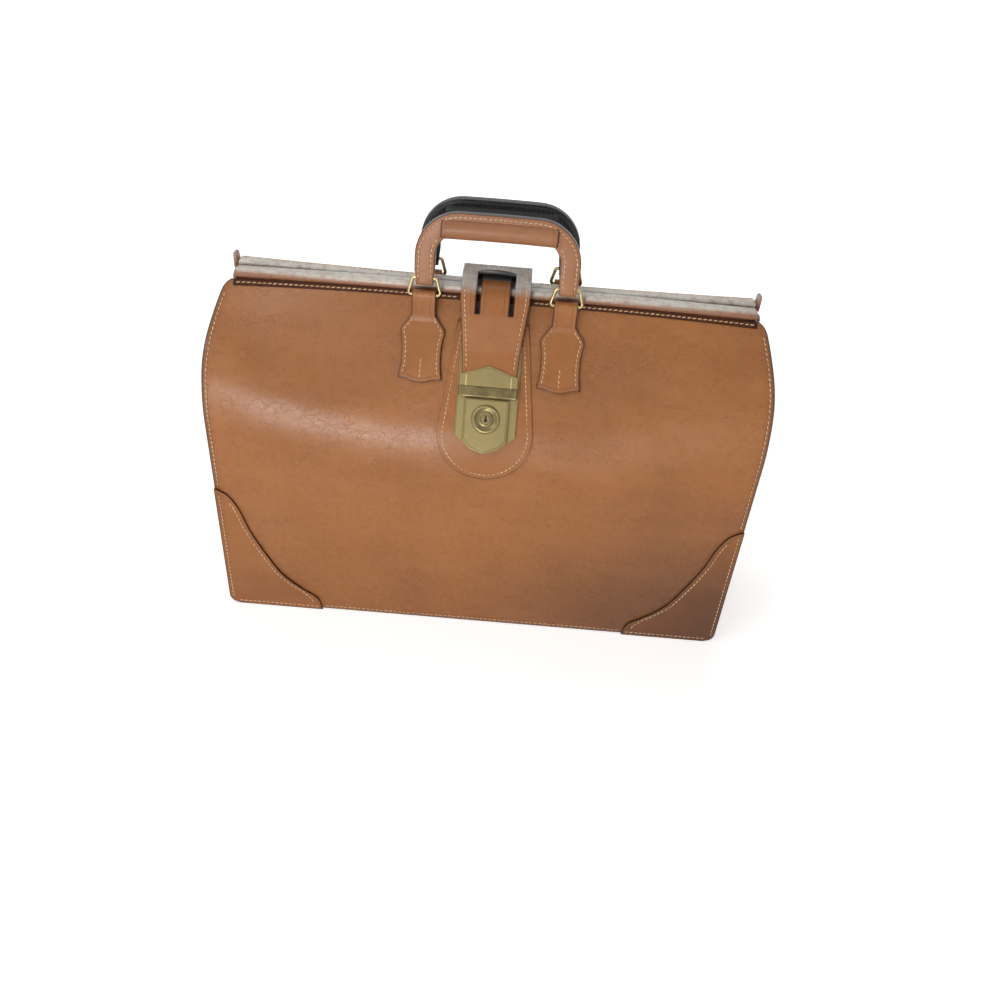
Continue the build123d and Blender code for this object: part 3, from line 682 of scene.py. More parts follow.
@dataclass(frozen=True)
class ThreadFinish(Finish):
    """Waxed linen thread with its twist and some grime."""

    colour: Triple = (0.78, 0.56, 0.34)
    grime: Triple = (0.48, 0.28, 0.13)

    def material(self) -> Material:
        """Builds the material.

        Returns:
            The material.
        """
        graph, shader, material = principled(self.name)
        # Grime on the thread only; no shade is painted here.
        soil = graph.span(graph.noise(graph.place, 45.0, 3.0, 0.6), 0.35, 0.7)
        tone = graph.mix(graph.part(soil, 0.75), self.colour, self.grime)
        wave = {"Vector": graph.place, "Scale": 900.0, "Distortion": 0.6}
        twist = graph.add("ShaderNodeTexWave", wave, bands_direction="DIAGONAL").outputs["Fac"]
        height = graph.total(twist, (graph.noise(graph.place, 3000.0, 2.0, 0.5), 0.4))
        graph.dress(shader, tone, graph.total(0.55, (soil, 0.2)), height, 0.5, 0.0002)
        return material


@dataclass(frozen=True)
class NapFinish(Finish):
    """Suede lining or bookcloth: a short nap or plain weave."""

    colour: Triple = (0.3, 0.17, 0.085)
    dark: Triple = (0.2, 0.105, 0.05)
    weave: float = 0.0

    def material(self) -> Material:
        """Builds the material.

        Returns:
            The material.
        """
        graph, shader, material = principled(self.name)
        soft = graph.noise(graph.place, 55.0, 4.0, 0.65)
        nap = graph.noise(graph.place, 1500.0, 3.0, 0.6)
        tone = graph.mix(graph.span(soft, 0.35, 0.7), self.colour, self.dark)
        tone = graph.mix(graph.part(nap, 0.3), tone, self.dark)
        height = nap
        if self.weave:
            inputs = {"Vector": graph.place, "Scale": self.weave}
            warp, weft = (
                graph.add("ShaderNodeTexWave", inputs, bands_direction=way).outputs["Fac"] for way in "XZ"
            )
            height = graph.total(graph.part(warp, weft), (nap, 0.4))
        graph.dress(shader, tone, graph.total(0.72, (soft, 0.2)), height, 0.6, 0.0004)
        shader.inputs["Sheen Weight"].default_value = 0.25
        return material


def made(finish: Finish) -> Any:
    """Field that holds a finish's material."""
    return field(default_factory=finish.material)


@dataclass
class Workshop:
    """The finishes that the case is made of."""

    panel: Material = made(
        LeatherFinish(
            "panel_leather", tan=(0.36, 0.131, 0.031), seam=3.5, border=2.6, coat=0.12, gloss=0.29, shine=0.31
        )
    )
    trim: Material = made(LeatherFinish("trim_leather", creases=0.12, scuffs=0.3, seam=3.4, gloss=0.4))
    handle: Material = made(
        LeatherFinish(
            "handle_leather", (0.36, 0.155, 0.07), (0.17, 0.068, 0.03), creases=0.3, scuffs=0.25, seam=3.0,
            gloss=0.42,
        )
    )
    # Its pale bloom colour is the painted reflection on the bars' tops.
    bar: Material = made(
        LeatherFinish(
            "bar_leather", tan=(0.28, 0.12, 0.06), pale=(0.42, 0.24, 0.14), bloom=(0.64, 0.6, 0.53),
            creases=0.1, gloss=0.3, seam=30.0, coat=0.4,
        )
    )
    gusset: Material = made(
        LeatherFinish("gusset_leather", tan=(0.33, 0.13, 0.048), creases=0.5, scuffs=0.2, gloss=0.46, coat=0.05)
    )
    # Near-black leather: painted shade for the strip under the frame bars and for the welts.
    binding: Material = made(
        LeatherFinish(
            "binding_leather", tan=(0.085, 0.026, 0.01), dark=(0.04, 0.013, 0.006), pale=(0.13, 0.045, 0.018),
            gloss=0.5, shine=0.12, coat=0.0,
        )
    )
    edge: Material = made(EdgeFinish("burnished_edge", (0.05, 0.024, 0.014)))
    # Inked black for cut edges, and for the handles' inner faces as painted shade.
    black_edge: Material = made(EdgeFinish("inked_edge", (0.014, 0.013, 0.014), (0.07, 0.06, 0.058)))
    # Near-black finish of the grips' inner sides: painted shade.
    black_side: Material = made(
        EdgeFinish("inked_side", (0.012, 0.011, 0.012), (0.04, 0.034, 0.032), layer=1000.0, gloss=0.4)
    )
    # Near-black: painted shade on the strap's inner face and on the middle strip.
    shadow_lining: Material = made(NapFinish("dark_lining", (0.02, 0.014, 0.011), (0.011, 0.008, 0.007)))
    lining: Material = made(NapFinish("suede_lining"))
    cloth: Material = made(NapFinish("board_cloth", (0.26, 0.17, 0.1), (0.15, 0.095, 0.055), weave=420.0))
    thread: Material = made(ThreadFinish("linen_thread"))
    # Near-black thread on the handles' inner faces: painted shade.
    dark_thread: Material = made(ThreadFinish("dark_thread", (0.03, 0.025, 0.022), (0.015, 0.013, 0.012)))
    brass: Material = made(MetalFinish("old_brass"))
    bright_brass: Material = made(MetalFinish("rubbed_brass", (0.42, 0.33, 0.155), (0.2, 0.155, 0.075)))
    steel: Material = made(
        MetalFinish("frame_steel", (0.42, 0.42, 0.43), (0.2, 0.19, 0.18), gloss=0.38, blotches=40.0)
    )
    hollow: Material = made(NapFinish("keyhole_shadow", (0.012, 0.01, 0.009), (0.006, 0.005, 0.005)))

    def leather(self, outer: Material, inked: bool = False) -> list[Material]:
        """Slots of a leather sheet: outer face, inner face and cut edge, brown or inked black."""
        return [outer, self.lining, self.black_edge if inked else self.edge]


def finished(name: str, bm: BMesh, materials: Sequence[Material], matrix: Matrix | None = None) -> Object:
    """Turns a mesh in millimetres into an object at the origin, in metres.

    Args:
        name: Name of the piece.
        bm: The mesh, which is freed.
        materials: Its material slots.
        matrix: Reflection applied first, with the faces turned back outwards.

    Returns:
        The new object.
    """
    if matrix is not None:
        bmesh.ops.transform(bm, matrix=matrix, verts=bm.verts)
        if matrix.to_3x3().determinant() < 0:
            bmesh.ops.reverse_faces(bm, faces=bm.faces)
    bmesh.ops.scale(bm, vec=(MM, MM, MM), verts=bm.verts)
    bm.normal_update()
    mesh = bpy.data.meshes.new(name)
    bm.to_mesh(mesh)
    bm.free()
    for polygon in mesh.polygons:
        polygon.use_smooth = True
    for material in materials:
        mesh.materials.append(material)
    piece = bpy.data.objects.new(name, mesh)
    bpy.context.scene.collection.objects.link(piece)
    LOG.info("%s: %d faces", name, len(mesh.polygons))
    return piece


def mark(piece: Object, name: str, value: Callable[[Vector], float]) -> None:
    """Stores a value at each vertex, worked out from its place in millimetres.

    Args:
        piece: The piece.
        name: Name of the attribute.
        value: Gives the value at a place.
    """
    attribute = piece.data.attributes.new(name, "FLOAT", "POINT")
    for vertex, datum in zip(piece.data.vertices, attribute.data):
        datum.value = value(vertex.co / MM)


def even(piece: Object) -> Object:
    """Keeps the broad flat faces of a piece flat beside their rounded edges.

    Args:
        piece: The piece.

    Returns:
        The same piece.
    """
    weighted = piece.modifiers.new("flat_faces", "WEIGHTED_NORMAL")
    weighted.weight = 90
    return piece


def soften(piece: Object, width: float) -> None:
    """Rounds the sharp edges of a piece with a bevel.

    Args:
        piece: The piece.
        width: Width of the bevel, in millimetres.
    """
    bevel = piece.modifiers.new("rounded_edges", "BEVEL")
    bevel.width = width * MM
    bevel.segments = 2
    bevel.limit_method = "ANGLE"
    bevel.angle_limit = math.radians(40.0)
    bevel.harden_normals = False


@dataclass
class Sheet:
    """A sheet of leather: grid lines across and along, each crossing placed on its outer face.

    place gives the point for an across and an along value, gap tells which cells are cut out, and reach
    gives the distance to the nearest edge where the four sides of the grid aren't enough.
    """

    across: Sequence[float]
    along: Sequence[float]
    place: Callable[[float, float], Vector]
    thickness: float
    gap: Callable[[float, float], bool] | None = None
    reach: Callable[[float, float], float] | None = None
    rounding: float = 0.45

    def border(self, a: float, b: float) -> float:
        """Distance to the nearest side of the grid.

        Args:
            a: Across value.
            b: Along value.

        Returns:
            The distance, in millimetres.
        """
        here = self.place(a, b)
        sides = [self.place(end, b) for end in (self.across[0], self.across[-1])]
        sides += [self.place(a, end) for end in (self.along[0], self.along[-1])]
        return min((here - side).length for side in sides)

    def build(self, materials: Sequence[Material], matrix: Matrix | None, name: str) -> Object:
        """Makes the sheet.

        Args:
            materials: Slots for the outer face, the inner face and the cut edge.
            matrix: Reflection to another side of the case, or none.
            name: Name of the piece.

        Returns:
            The piece, with its thickness and rounded edges as modifiers.
        """
        bm = bmesh.new()
        columns, rows = len(self.across) - 1, len(self.along) - 1
        bmesh.ops.create_grid(bm, x_segments=columns, y_segments=rows, size=1.0)
        rim = bm.verts.layers.float.new("rim")
        values: dict[BMVert, Pair] = {}
        for vert in bm.verts:
            column = round((vert.co.x + 1) / 2 * columns)
            row = round((vert.co.y + 1) / 2 * rows)
            values[vert] = (self.across[column], self.along[row])
        if self.gap:
            cut = []
            for face in bm.faces:
                a = sum(values[vert][0] for vert in face.verts) / len(face.verts)
                b = sum(values[vert][1] for vert in face.verts) / len(face.verts)
                if self.gap(a, b):
                    cut.append(face)
            bmesh.ops.delete(bm, geom=cut, context="FACES")
        for vert in bm.verts:
            a, b = values[vert]
            vert.co = self.place(a, b)
            vert[rim] = self.border(a, b)
            if self.reach:
                vert[rim] = min(vert[rim], self.reach(a, b))
        bmesh.ops.remove_doubles(bm, verts=bm.verts, dist=0.02)
        piece = finished(name, bm, materials, matrix)
        wall = piece.modifiers.new("leather_thickness", "SOLIDIFY")
        wall.thickness = self.thickness * MM
        wall.offset = -1.0
        wall.material_offset = 1
        wall.material_offset_rim = 2
        soften(piece, self.rounding)
        return piece


@dataclass(frozen=True)
class Stitching:
    """A row of slanted saddle stitches."""

    pitch: float = 4.0
    length: float = 3.2
    width: float = 0.95
    height: float = 0.7
    slant: float = 0.16

    def template(self) -> Mesh:
        """One stitch along x, as long, wide and high as the fields say.

        Returns:
            Mesh of the stitch, in millimetres.
        """
        bm = bmesh.new()
        bmesh.ops.create_uvsphere(bm, u_segments=6, v_segments=6, radius=0.5)
        bmesh.ops.rotate(bm, verts=bm.verts, cent=(0, 0, 0), matrix=Matrix.Rotation(math.pi / 2, 3, "Y"))
        bmesh.ops.scale(bm, verts=bm.verts, vec=(self.length, self.width, self.height))
        mesh = bpy.data.meshes.new("stitch")
        bm.to_mesh(mesh)
        bm.free()
        return mesh

    def lay(self, name: str, trails: Sequence[Trail], thread: Material, matrix: Matrix | None = None) -> Object:
        """Sews stitches along trails.

        Args:
            name: Name of the piece.
            trails: Points with outward directions, in millimetres.
            thread: The thread's material.
            matrix: Reflection to another side of the case.

        Returns:
            One piece with all the stitches.
        """
        template = self.template()
        bm = bmesh.new()
        shaky = random.Random(name)
        for trail in trails:
            for spot, along, out in self.spots(trail):
                turn = Matrix.Rotation(self.slant + shaky.uniform(-0.06, 0.06), 4, "Z")
                aside = out.cross(along).normalized()
                basis = Matrix((along, aside, out)).transposed().to_4x4()
                stitch = template.copy()
                stitch.transform(Matrix.Translation(spot + out * 0.08) @ basis @ turn)
                bm.from_mesh(stitch)
                bpy.data.meshes.remove(stitch)
        bpy.data.meshes.remove(template)
        return finished(name, bm, [thread], matrix)

    def spots(self, trail: Trail) -> list[tuple[Vector, Vector, Vector]]:
        """Middle, direction and outward direction of each stitch on a trail.

        Args:
            trail: The trail to sew along.

        Returns:
            The three vectors of each stitch.
        """
        lengths = [(b[0] - a[0]).length for a, b in zip(trail, trail[1:])]
        total = sum(lengths)
        count = max(1, round(total / self.pitch))
        found = []
        for index in range(count):
            target = (index + 0.5) * total / count
            step = 0
            while step < len(lengths) - 1 and target > lengths[step]:
                target -= lengths[step]
                step += 1
            start, end = trail[step], trail[step + 1]
            t = target / max(lengths[step], 1e-6)
            along = (end[0] - start[0]).normalized()
            out = start[1].lerp(end[1], t)
            out = (out - along * out.dot(along)).normalized()
            found.append((start[0].lerp(end[0], t), along, out))
        return found


def swept(bm: BMesh, section: Sequence[Vector], stations: Sequence[Matrix]) -> None:
    """Extrudes a closed section from station to station and closes both ends.

    Args:
        bm: Mesh that the bar is added to.
        section: Points of the section in a station's own xy plane.
        stations: Place, turn and scale of the section along the bar, with z along it.
    """
    verts = [bm.verts.new(stations[0] @ point) for point in section]
    edges = [bm.edges.new((verts[i], verts[(i + 1) % len(verts)])) for i in range(len(verts))]
    bmesh.ops.edgeloop_fill(bm, edges=edges)
    for before, after in zip(stations, stations[1:]):
        added = bmesh.ops.extrude_edge_only(bm, edges=edges)["geom"]
        moved = [item for item in added if isinstance(item, BMVert)]
        edges = [item for item in added if isinstance(item, BMEdge)]
        edges = [edge for edge in edges if all(vert in moved for vert in edge.verts)]
        bmesh.ops.transform(bm, matrix=after @ before.inverted(), verts=moved)
    bmesh.ops.edgeloop_fill(bm, edges=edges)
    bmesh.ops.recalc_face_normals(bm, faces=bm.faces)


def rounded_section(width: float, depth: float, radius: float, crown: float = 0.0) -> list[Vector]:
    """Rounded rectangle in the xy plane, with its wide faces bulged by crown.

    Args:
        width: Size along x.
        depth: Size along y.
        radius: Radius of the corners.
        crown: Height of the bulge.

    Returns:
        Points in order, counter-clockwise.
    """
    points = []
    for corner in range(4):
        sx = 1 if corner in (0, 3) else -1
        sy = 1 if corner in (0, 1) else -1
        for step in range(4):
            angle = math.radians(90 * corner + 30 * step)
            x = sx * (width / 2 - radius) + radius * math.cos(angle)
            y = sy * (depth / 2 - radius) + radius * math.sin(angle)
            points.append(Vector((x, y, 0.0)))
        if corner in (0, 2):
            points += [
                Vector((share * width * sx, sy * (depth / 2 + crown), 0.0)) for share in (0.22, 0.0, -0.22)
            ]
    return points


def round_edges(bm: BMesh, edges: Sequence[BMEdge], width: float, segments: int) -> None:
    """Rounds edges of a mesh.

    Args:
        bm: The mesh.
        edges: The edges.
        width: Width of the bevel.
        segments: Segments in it.
    """
    bmesh.ops.bevel(
        bm, geom=edges, offset=width, segments=segments, profile=0.5, affect="EDGES", material=-1,
        clamp_overlap=True,
    )


def block(
    low: Sequence[float], high: Sequence[float], radius: float, segments: int, cells: tuple[int, int, int]
) -> BMesh:
    """Rounded block between two corners.

    Args:
        low: Lowest corner in millimetres.
        high: Highest corner.
        radius: Rounding of all its edges.
        segments: Segments in the rounding.
        cells: Cuts along each axis.

    Returns:
        The mesh, still open to more work.
    """
    bm = bmesh.new()
    size = Vector(high) - Vector(low)
    bmesh.ops.create_cube(bm, size=1.0)
    bmesh.ops.scale(bm, vec=size, verts=bm.verts)
    bmesh.ops.translate(bm, vec=(Vector(high) + Vector(low)) / 2, verts=bm.verts)
    round_edges(bm, bm.edges[:], radius, segments)
    for axis, count in enumerate(cells):
        for index in range(1, count):
            spot = Vector(low)
            spot[axis] += size[axis] * index / count
            way = Vector((0, 0, 0))
            way[axis] = 1.0
            bmesh.ops.bisect_plane(
                bm, geom=bm.verts[:] + bm.edges[:] + bm.faces[:], plane_co=spot, plane_no=way
            )
    return bm


def plate(outline: Sequence[Pair], low: float, high: float, rounding: float = 0.0, segments: int = 2) -> BMesh:
    """Flat plate in the slope's own frame.

    Args:
        outline: Corners in the slope's xy plane, counter-clockwise.
        low: Height of its underside off the leather.
        high: Height of its upper face.
        rounding: Rounding of the upper face's edges.
        segments: Segments in the rounding.

    Returns:
        The mesh in the slope's frame.
    """
    bm = bmesh.new()
    verts = [bm.verts.new((x, y, low)) for x, y in outline]
    base = bm.faces.new(verts)
    added = bmesh.ops.extrude_face_region(bm, geom=[base])["geom"]
    upper = [item for item in added if isinstance(item, BMVert)]
    bmesh.ops.translate(bm, vec=(0, 0, high - low), verts=upper)
    bmesh.ops.recalc_face_normals(bm, faces=bm.faces)
    if rounding:
        edges = [edge for edge in bm.edges if any(vert.co.z > low + 1e-4 for vert in edge.verts)]
        round_edges(bm, edges, rounding, segments)
    return bm


def joined(meshes: Sequence[BMesh]) -> BMesh:
    """One mesh from several, which are freed.

    Args:
        meshes: The meshes.

    Returns:
        The joined mesh.
    """
    whole = bmesh.new()
    for part in meshes:
        mesh = bpy.data.meshes.new("part")
        part.to_mesh(mesh)
        part.free()
        whole.from_mesh(mesh)
        bpy.data.meshes.remove(mesh)
    return whole


@dataclass
class Panels:
    """The two big leather panels, their corner patches, their seams and the base."""

    shop: Workshop
    thickness: float = 3.2
    sunk: float = 0.25
    patch_thickness: float = 1.6
    patch_top: float = 124.6
    seam: float = 3.5
    binding_half: float = 199.0
    binding_width: float = 3.7
    bend_low: float = 140.0
    bend_high: float = 187.0
    base_half: Pair = (206.0, 61.2)
    patch_edge: tuple[Pair, ...] = (
        (0, 82), (14, 77), (21, 67), (35, 51), (58, 37), (84, 25), (108, 17), (120, 9), (125, 0.4),
    )

    def sag(self, x: float, z: float) -> float:
        """Small unevenness of the big panels, away from their seams.

        Args:
            x: Distance from the middle.
            z: Height.

        Returns:
            Distance outwards.
        """
        inner = min(1.0, (SKIN.half_span(z) - abs(x)) / 40.0) * min(1.0, z / 30.0)
        inner *= held((SKIN.top(x) - z) / 30.0)
        broad = noise.noise(Vector((x / 95.0, z / 60.0, 3.7)))
        small = noise.noise(Vector((x / 30.0, z / 16.0, 8.1)))
        return inner * (0.8 * broad + 0.22 * small)

    def place(self, a: float, b: float) -> Vector:
        """Point of the panel for a share of its width and of its height.

        Args:
            a: Share of half the width.
            b: Share of the height.

        Returns:
            The point.
        """
        x = a * SKIN.half_span(b * SKIN.top(a * SKIN.half_width))
        z = b * (SKIN.top(x) + 0.3)
        return SKIN.point(x, z, self.sag(x, z) - self.sunk)

    def soiled(self, spot: Vector) -> float:
        """Darkening of the panel: painted shade under the strap, towards the foot and towards the lower right,
        darker along its sides, and a faint dark patch high on the right.

        Args:
            spot: Place, in millimetres.

        Returns:
            0 where left as it is and 1 where black.
        """
        # Painted shade where the strap lies over the panel.
        if abs(spot.x) < 16.0 and spot.z > 250.0:
            return 1.0
        # Darker along the side seams.
        sides = held(1.0 - (SKIN.half_span(spot.z) - abs(spot.x)) / 9.0) * 0.3
        # foot and right are painted shade: darker towards the bottom and the lower right.
        foot = held(1.0 - spot.z / 95.0) * 0.22
        right = 0.66 * held((spot.x - 10.0) / 190.0) * held((170.0 - spot.z) / 120.0)
        dark_patch = 0.2 * math.exp(-((spot.x - 92.0) / 46.0) ** 2 - ((spot.z - 238.0) / 22.0) ** 2)
        return max(sides, foot + right, dark_patch)

    def bend(self, piece: Object, side: Side) -> None:
        """Bakes the piece's place into its mesh; nothing bends it.

        Args:
            piece: The piece.
            side: Its side of the case; not used.
        """
        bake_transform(piece)

    def build(self) -> None:
        """Makes both sides and the base."""
        heights = [*steps(0, 0.04, 4), *steps(0.05, 0.94, 66), *steps(0.95, 1.0, 10)]
        columns = [*steps(-1, -0.965, 3), *steps(-0.955, 0.955, 90), *steps(0.965, 1, 3)]
        sheet = Sheet(columns, heights, self.place, self.thickness - self.sunk, rounding=0.6)
        for side in Side:
            panel = sheet.build(self.shop.leather(self.shop.panel), side.matrix(), f"{side.word}_panel_leather")
            # Painted shade and darkening on the panel.
            mark(panel, "soil", self.soiled)
            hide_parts(f"{side.word}_panel")
            self.bend(panel, side)
            seams = Stitching().lay(
                f"{side.word}_panel_stitches", self.seams(), self.shop.thread, side.matrix()
            )
            self.bend(seams, side)
            self.binding(side)
            for left in (False, True):
                self.patch(side, left)
        self.base()

    def free_edge(self, z: float, inset: float = 0.0) -> float:
        """x of a right corner patch's free edge at a height, moved inwards by inset."""
        return SKIN.half_width - curve_through(self.patch_edge)(z) + inset

    def seams(self) -> list[Trail]:
        """Stitch rows along the panel's two sides, foot and top.

        Returns:
            The rows.
        """
        trails = []
        raised = self.patch_thickness + 0.05
        for way in (1, -1):
            for heights, off in ((steps(7, 119, 30), raised), (steps(127, 273, 45), 0.0)):
                trails.append(SKIN.trail([(way * (SKIN.half_span(z) - self.seam), z) for z in heights], off))
            trails.append(SKIN.trail([(way * x, self.seam) for x in steps(136, 207, 20)], raised))
        trails.append(SKIN.trail([(x, self.seam) for x in steps(-131, 131, 40)], 0.0))
        return trails

    def binding(self, side: Side) -> None:
        """Near-black strip sewn along the panel's top edge, just below the frame bar: the bar's painted shadow.

        Args:
            side: Side of the case.
        """

        def place(a: float, b: float) -> Vector:
            """Point along the edge and down from it.

            Args:
                a: Share across.
                b: Share along.

            Returns:
                The point.
            """
            x = self.binding_half * a
            z = SKIN.top(x) + 0.7 - self.binding_width * b
            return SKIN.point(x, z, 1.05)

        sheet = Sheet(steps(1, -1, 90), steps(0, 1, 5), place, 1.0, rounding=0.3)
        # Its near-black leather is the bar's painted shadow.
        piece = sheet.build(self.shop.leather(self.shop.binding), side.matrix(), f"{side.word}_top_binding")
        trails = []
        for start, end in ((-197, -29), (29, 197)):
            trails.append(SKIN.trail([(x, SKIN.top(x) - 1.2) for x in steps(start, end, 50)], 1.1))
        row = Stitching().lay(f"{side.word}_top_stitches", trails, self.shop.thread, side.matrix())
        for item in (piece, row):
            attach(item, f"{side.word}_side")

    def patch(self, side: Side, left: bool) -> None:
        """One corner patch with the stitch row along its free edge.

        Args:
            side: Side of the case.
            left: Whether it is the left one.
        """

        def place(a: float, b: float) -> Vector:
            """Point from the free edge to the panel's side.

            Args:
                a: Share across.
                b: Share along.

            Returns:
                The point.
            """
            z = self.patch_top * b
            inner, outer = self.free_edge(z), SKIN.half_span(z)
            return SKIN.point(inner + (outer - inner) * a, z, self.patch_thickness)

        hand = "left" if left else "right"
        name = f"{side.word}_{hand}_corner_patch"
        heights = [*steps(0, 0.1, 6), *steps(0.13, 0.9, 26), *steps(0.92, 1, 6)]
        sheet = Sheet(steps(0, 1, 14), heights, place, self.patch_thickness - 0.1, rounding=0.4)
        piece = sheet.build(self.shop.leather(self.shop.trim, inked=True), side.matrix(left), f"{name}_leather")
        # Painted shade and darkening on the corner patch.
        mark(piece, "soil", self.soiled)
        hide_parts(name)
        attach(piece, "case")
        row = [(self.free_edge(z, 4.0 + 2.0 * (z < 16)), z) for z in steps(8, 112, 40)]
        stitches = Stitching().lay(
            f"{name}_stitches", [SKIN.trail(row, self.patch_thickness)], self.shop.thread, side.matrix(left)
        )
        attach(stitches, "case")

    def base(self) -> None:
        """Leather base with rounded edges."""
        width, depth = self.base_half
        bm = block((-width, -depth, 0), (width, depth, 3.4), 0.8, 2, (24, 8, 1))
        piece = finished("base_leather", bm, [self.shop.trim])
        mark(piece, "rim", lambda co: min(width - abs(co.x), depth - abs(co.y)))
        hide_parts("base_panel")
        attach(piece, "case")
        down = Vector((0, 0, -1))
        rows = [[(Vector((x, y, 0.05)), down) for x in steps(-198, 198, 60)] for y in (-57.5, 57.5)]
        stitches = Stitching(height=0.4).lay("base_stitches", rows, self.shop.thread)
        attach(stitches, "case")


@dataclass
class Gussets:
    """Folded leather ends, each in a front and a back half that meet at the fold."""

    shop: Workshop
    thickness: float = 2.3
    foot: float = 3.6
    top: float = 262.0
    gap: float = 0.35
    flange: float = 6.5
    flange_share: float = 0.12
    bend_way: Pair = (0.0417, 0.0212)
    folds: tuple[Pair, ...] = ((0, 3), (90, 11), (180, 30), (262, 56))

    def mouth(self, x: float, z: float) -> float:
        """Half the distance between the two panels' inner faces at a place."""
        return -SKIN.point(x, z, -3.2 - self.gap).y

    def place(self, a: float, b: float) -> Vector:
        """Point from the panel's inner face to the fold, and from foot to top.

        Args:
            a: 0 at the panel and 1 at the fold.
            b: Share of the height.

        Returns:
            The point.
        """
        z = self.foot + (self.top - self.foot) * b
        outer = SKIN.half_span(z) - 1.6
        fold = curve_through(self.folds)(z)
        start = outer - self.flange
        if a < self.flange_share:
            x = outer - self.flange * a / self.flange_share
            return Vector((x, -self.mouth(x, z), z))
        mouth = self.mouth(start, z)
        turn = (a - self.flange_share) / (1 - self.flange_share)
        soft = turn * turn * (3 - 2 * turn)
        bow = 0.35 * soft + 0.65 * turn
        ripple = 0.7 * noise.noise(Vector((turn * 2.2, z / 34.0, 5.5))) * math.sin(math.pi * turn)
        return Vector((start + (outer - fold - start) * bow + ripple, -mouth * (1 - turn) ** 1.05, z))

    def build(self) -> None:
        """Makes the four halves."""
        across = [*steps(0, self.flange_share, 3), *steps(0.15, 1.0, 22)]
        sheet = Sheet(across, steps(0, 1, 70), self.place, self.thickness, rounding=0.3)
        for side, left, hand in corners():
            piece = sheet.build(
                self.shop.leather(self.shop.gusset), side.matrix(left), f"{hand}_gusset_{side.word}_half"
            )
            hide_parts(f"{hand}_gusset")
            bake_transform(piece)


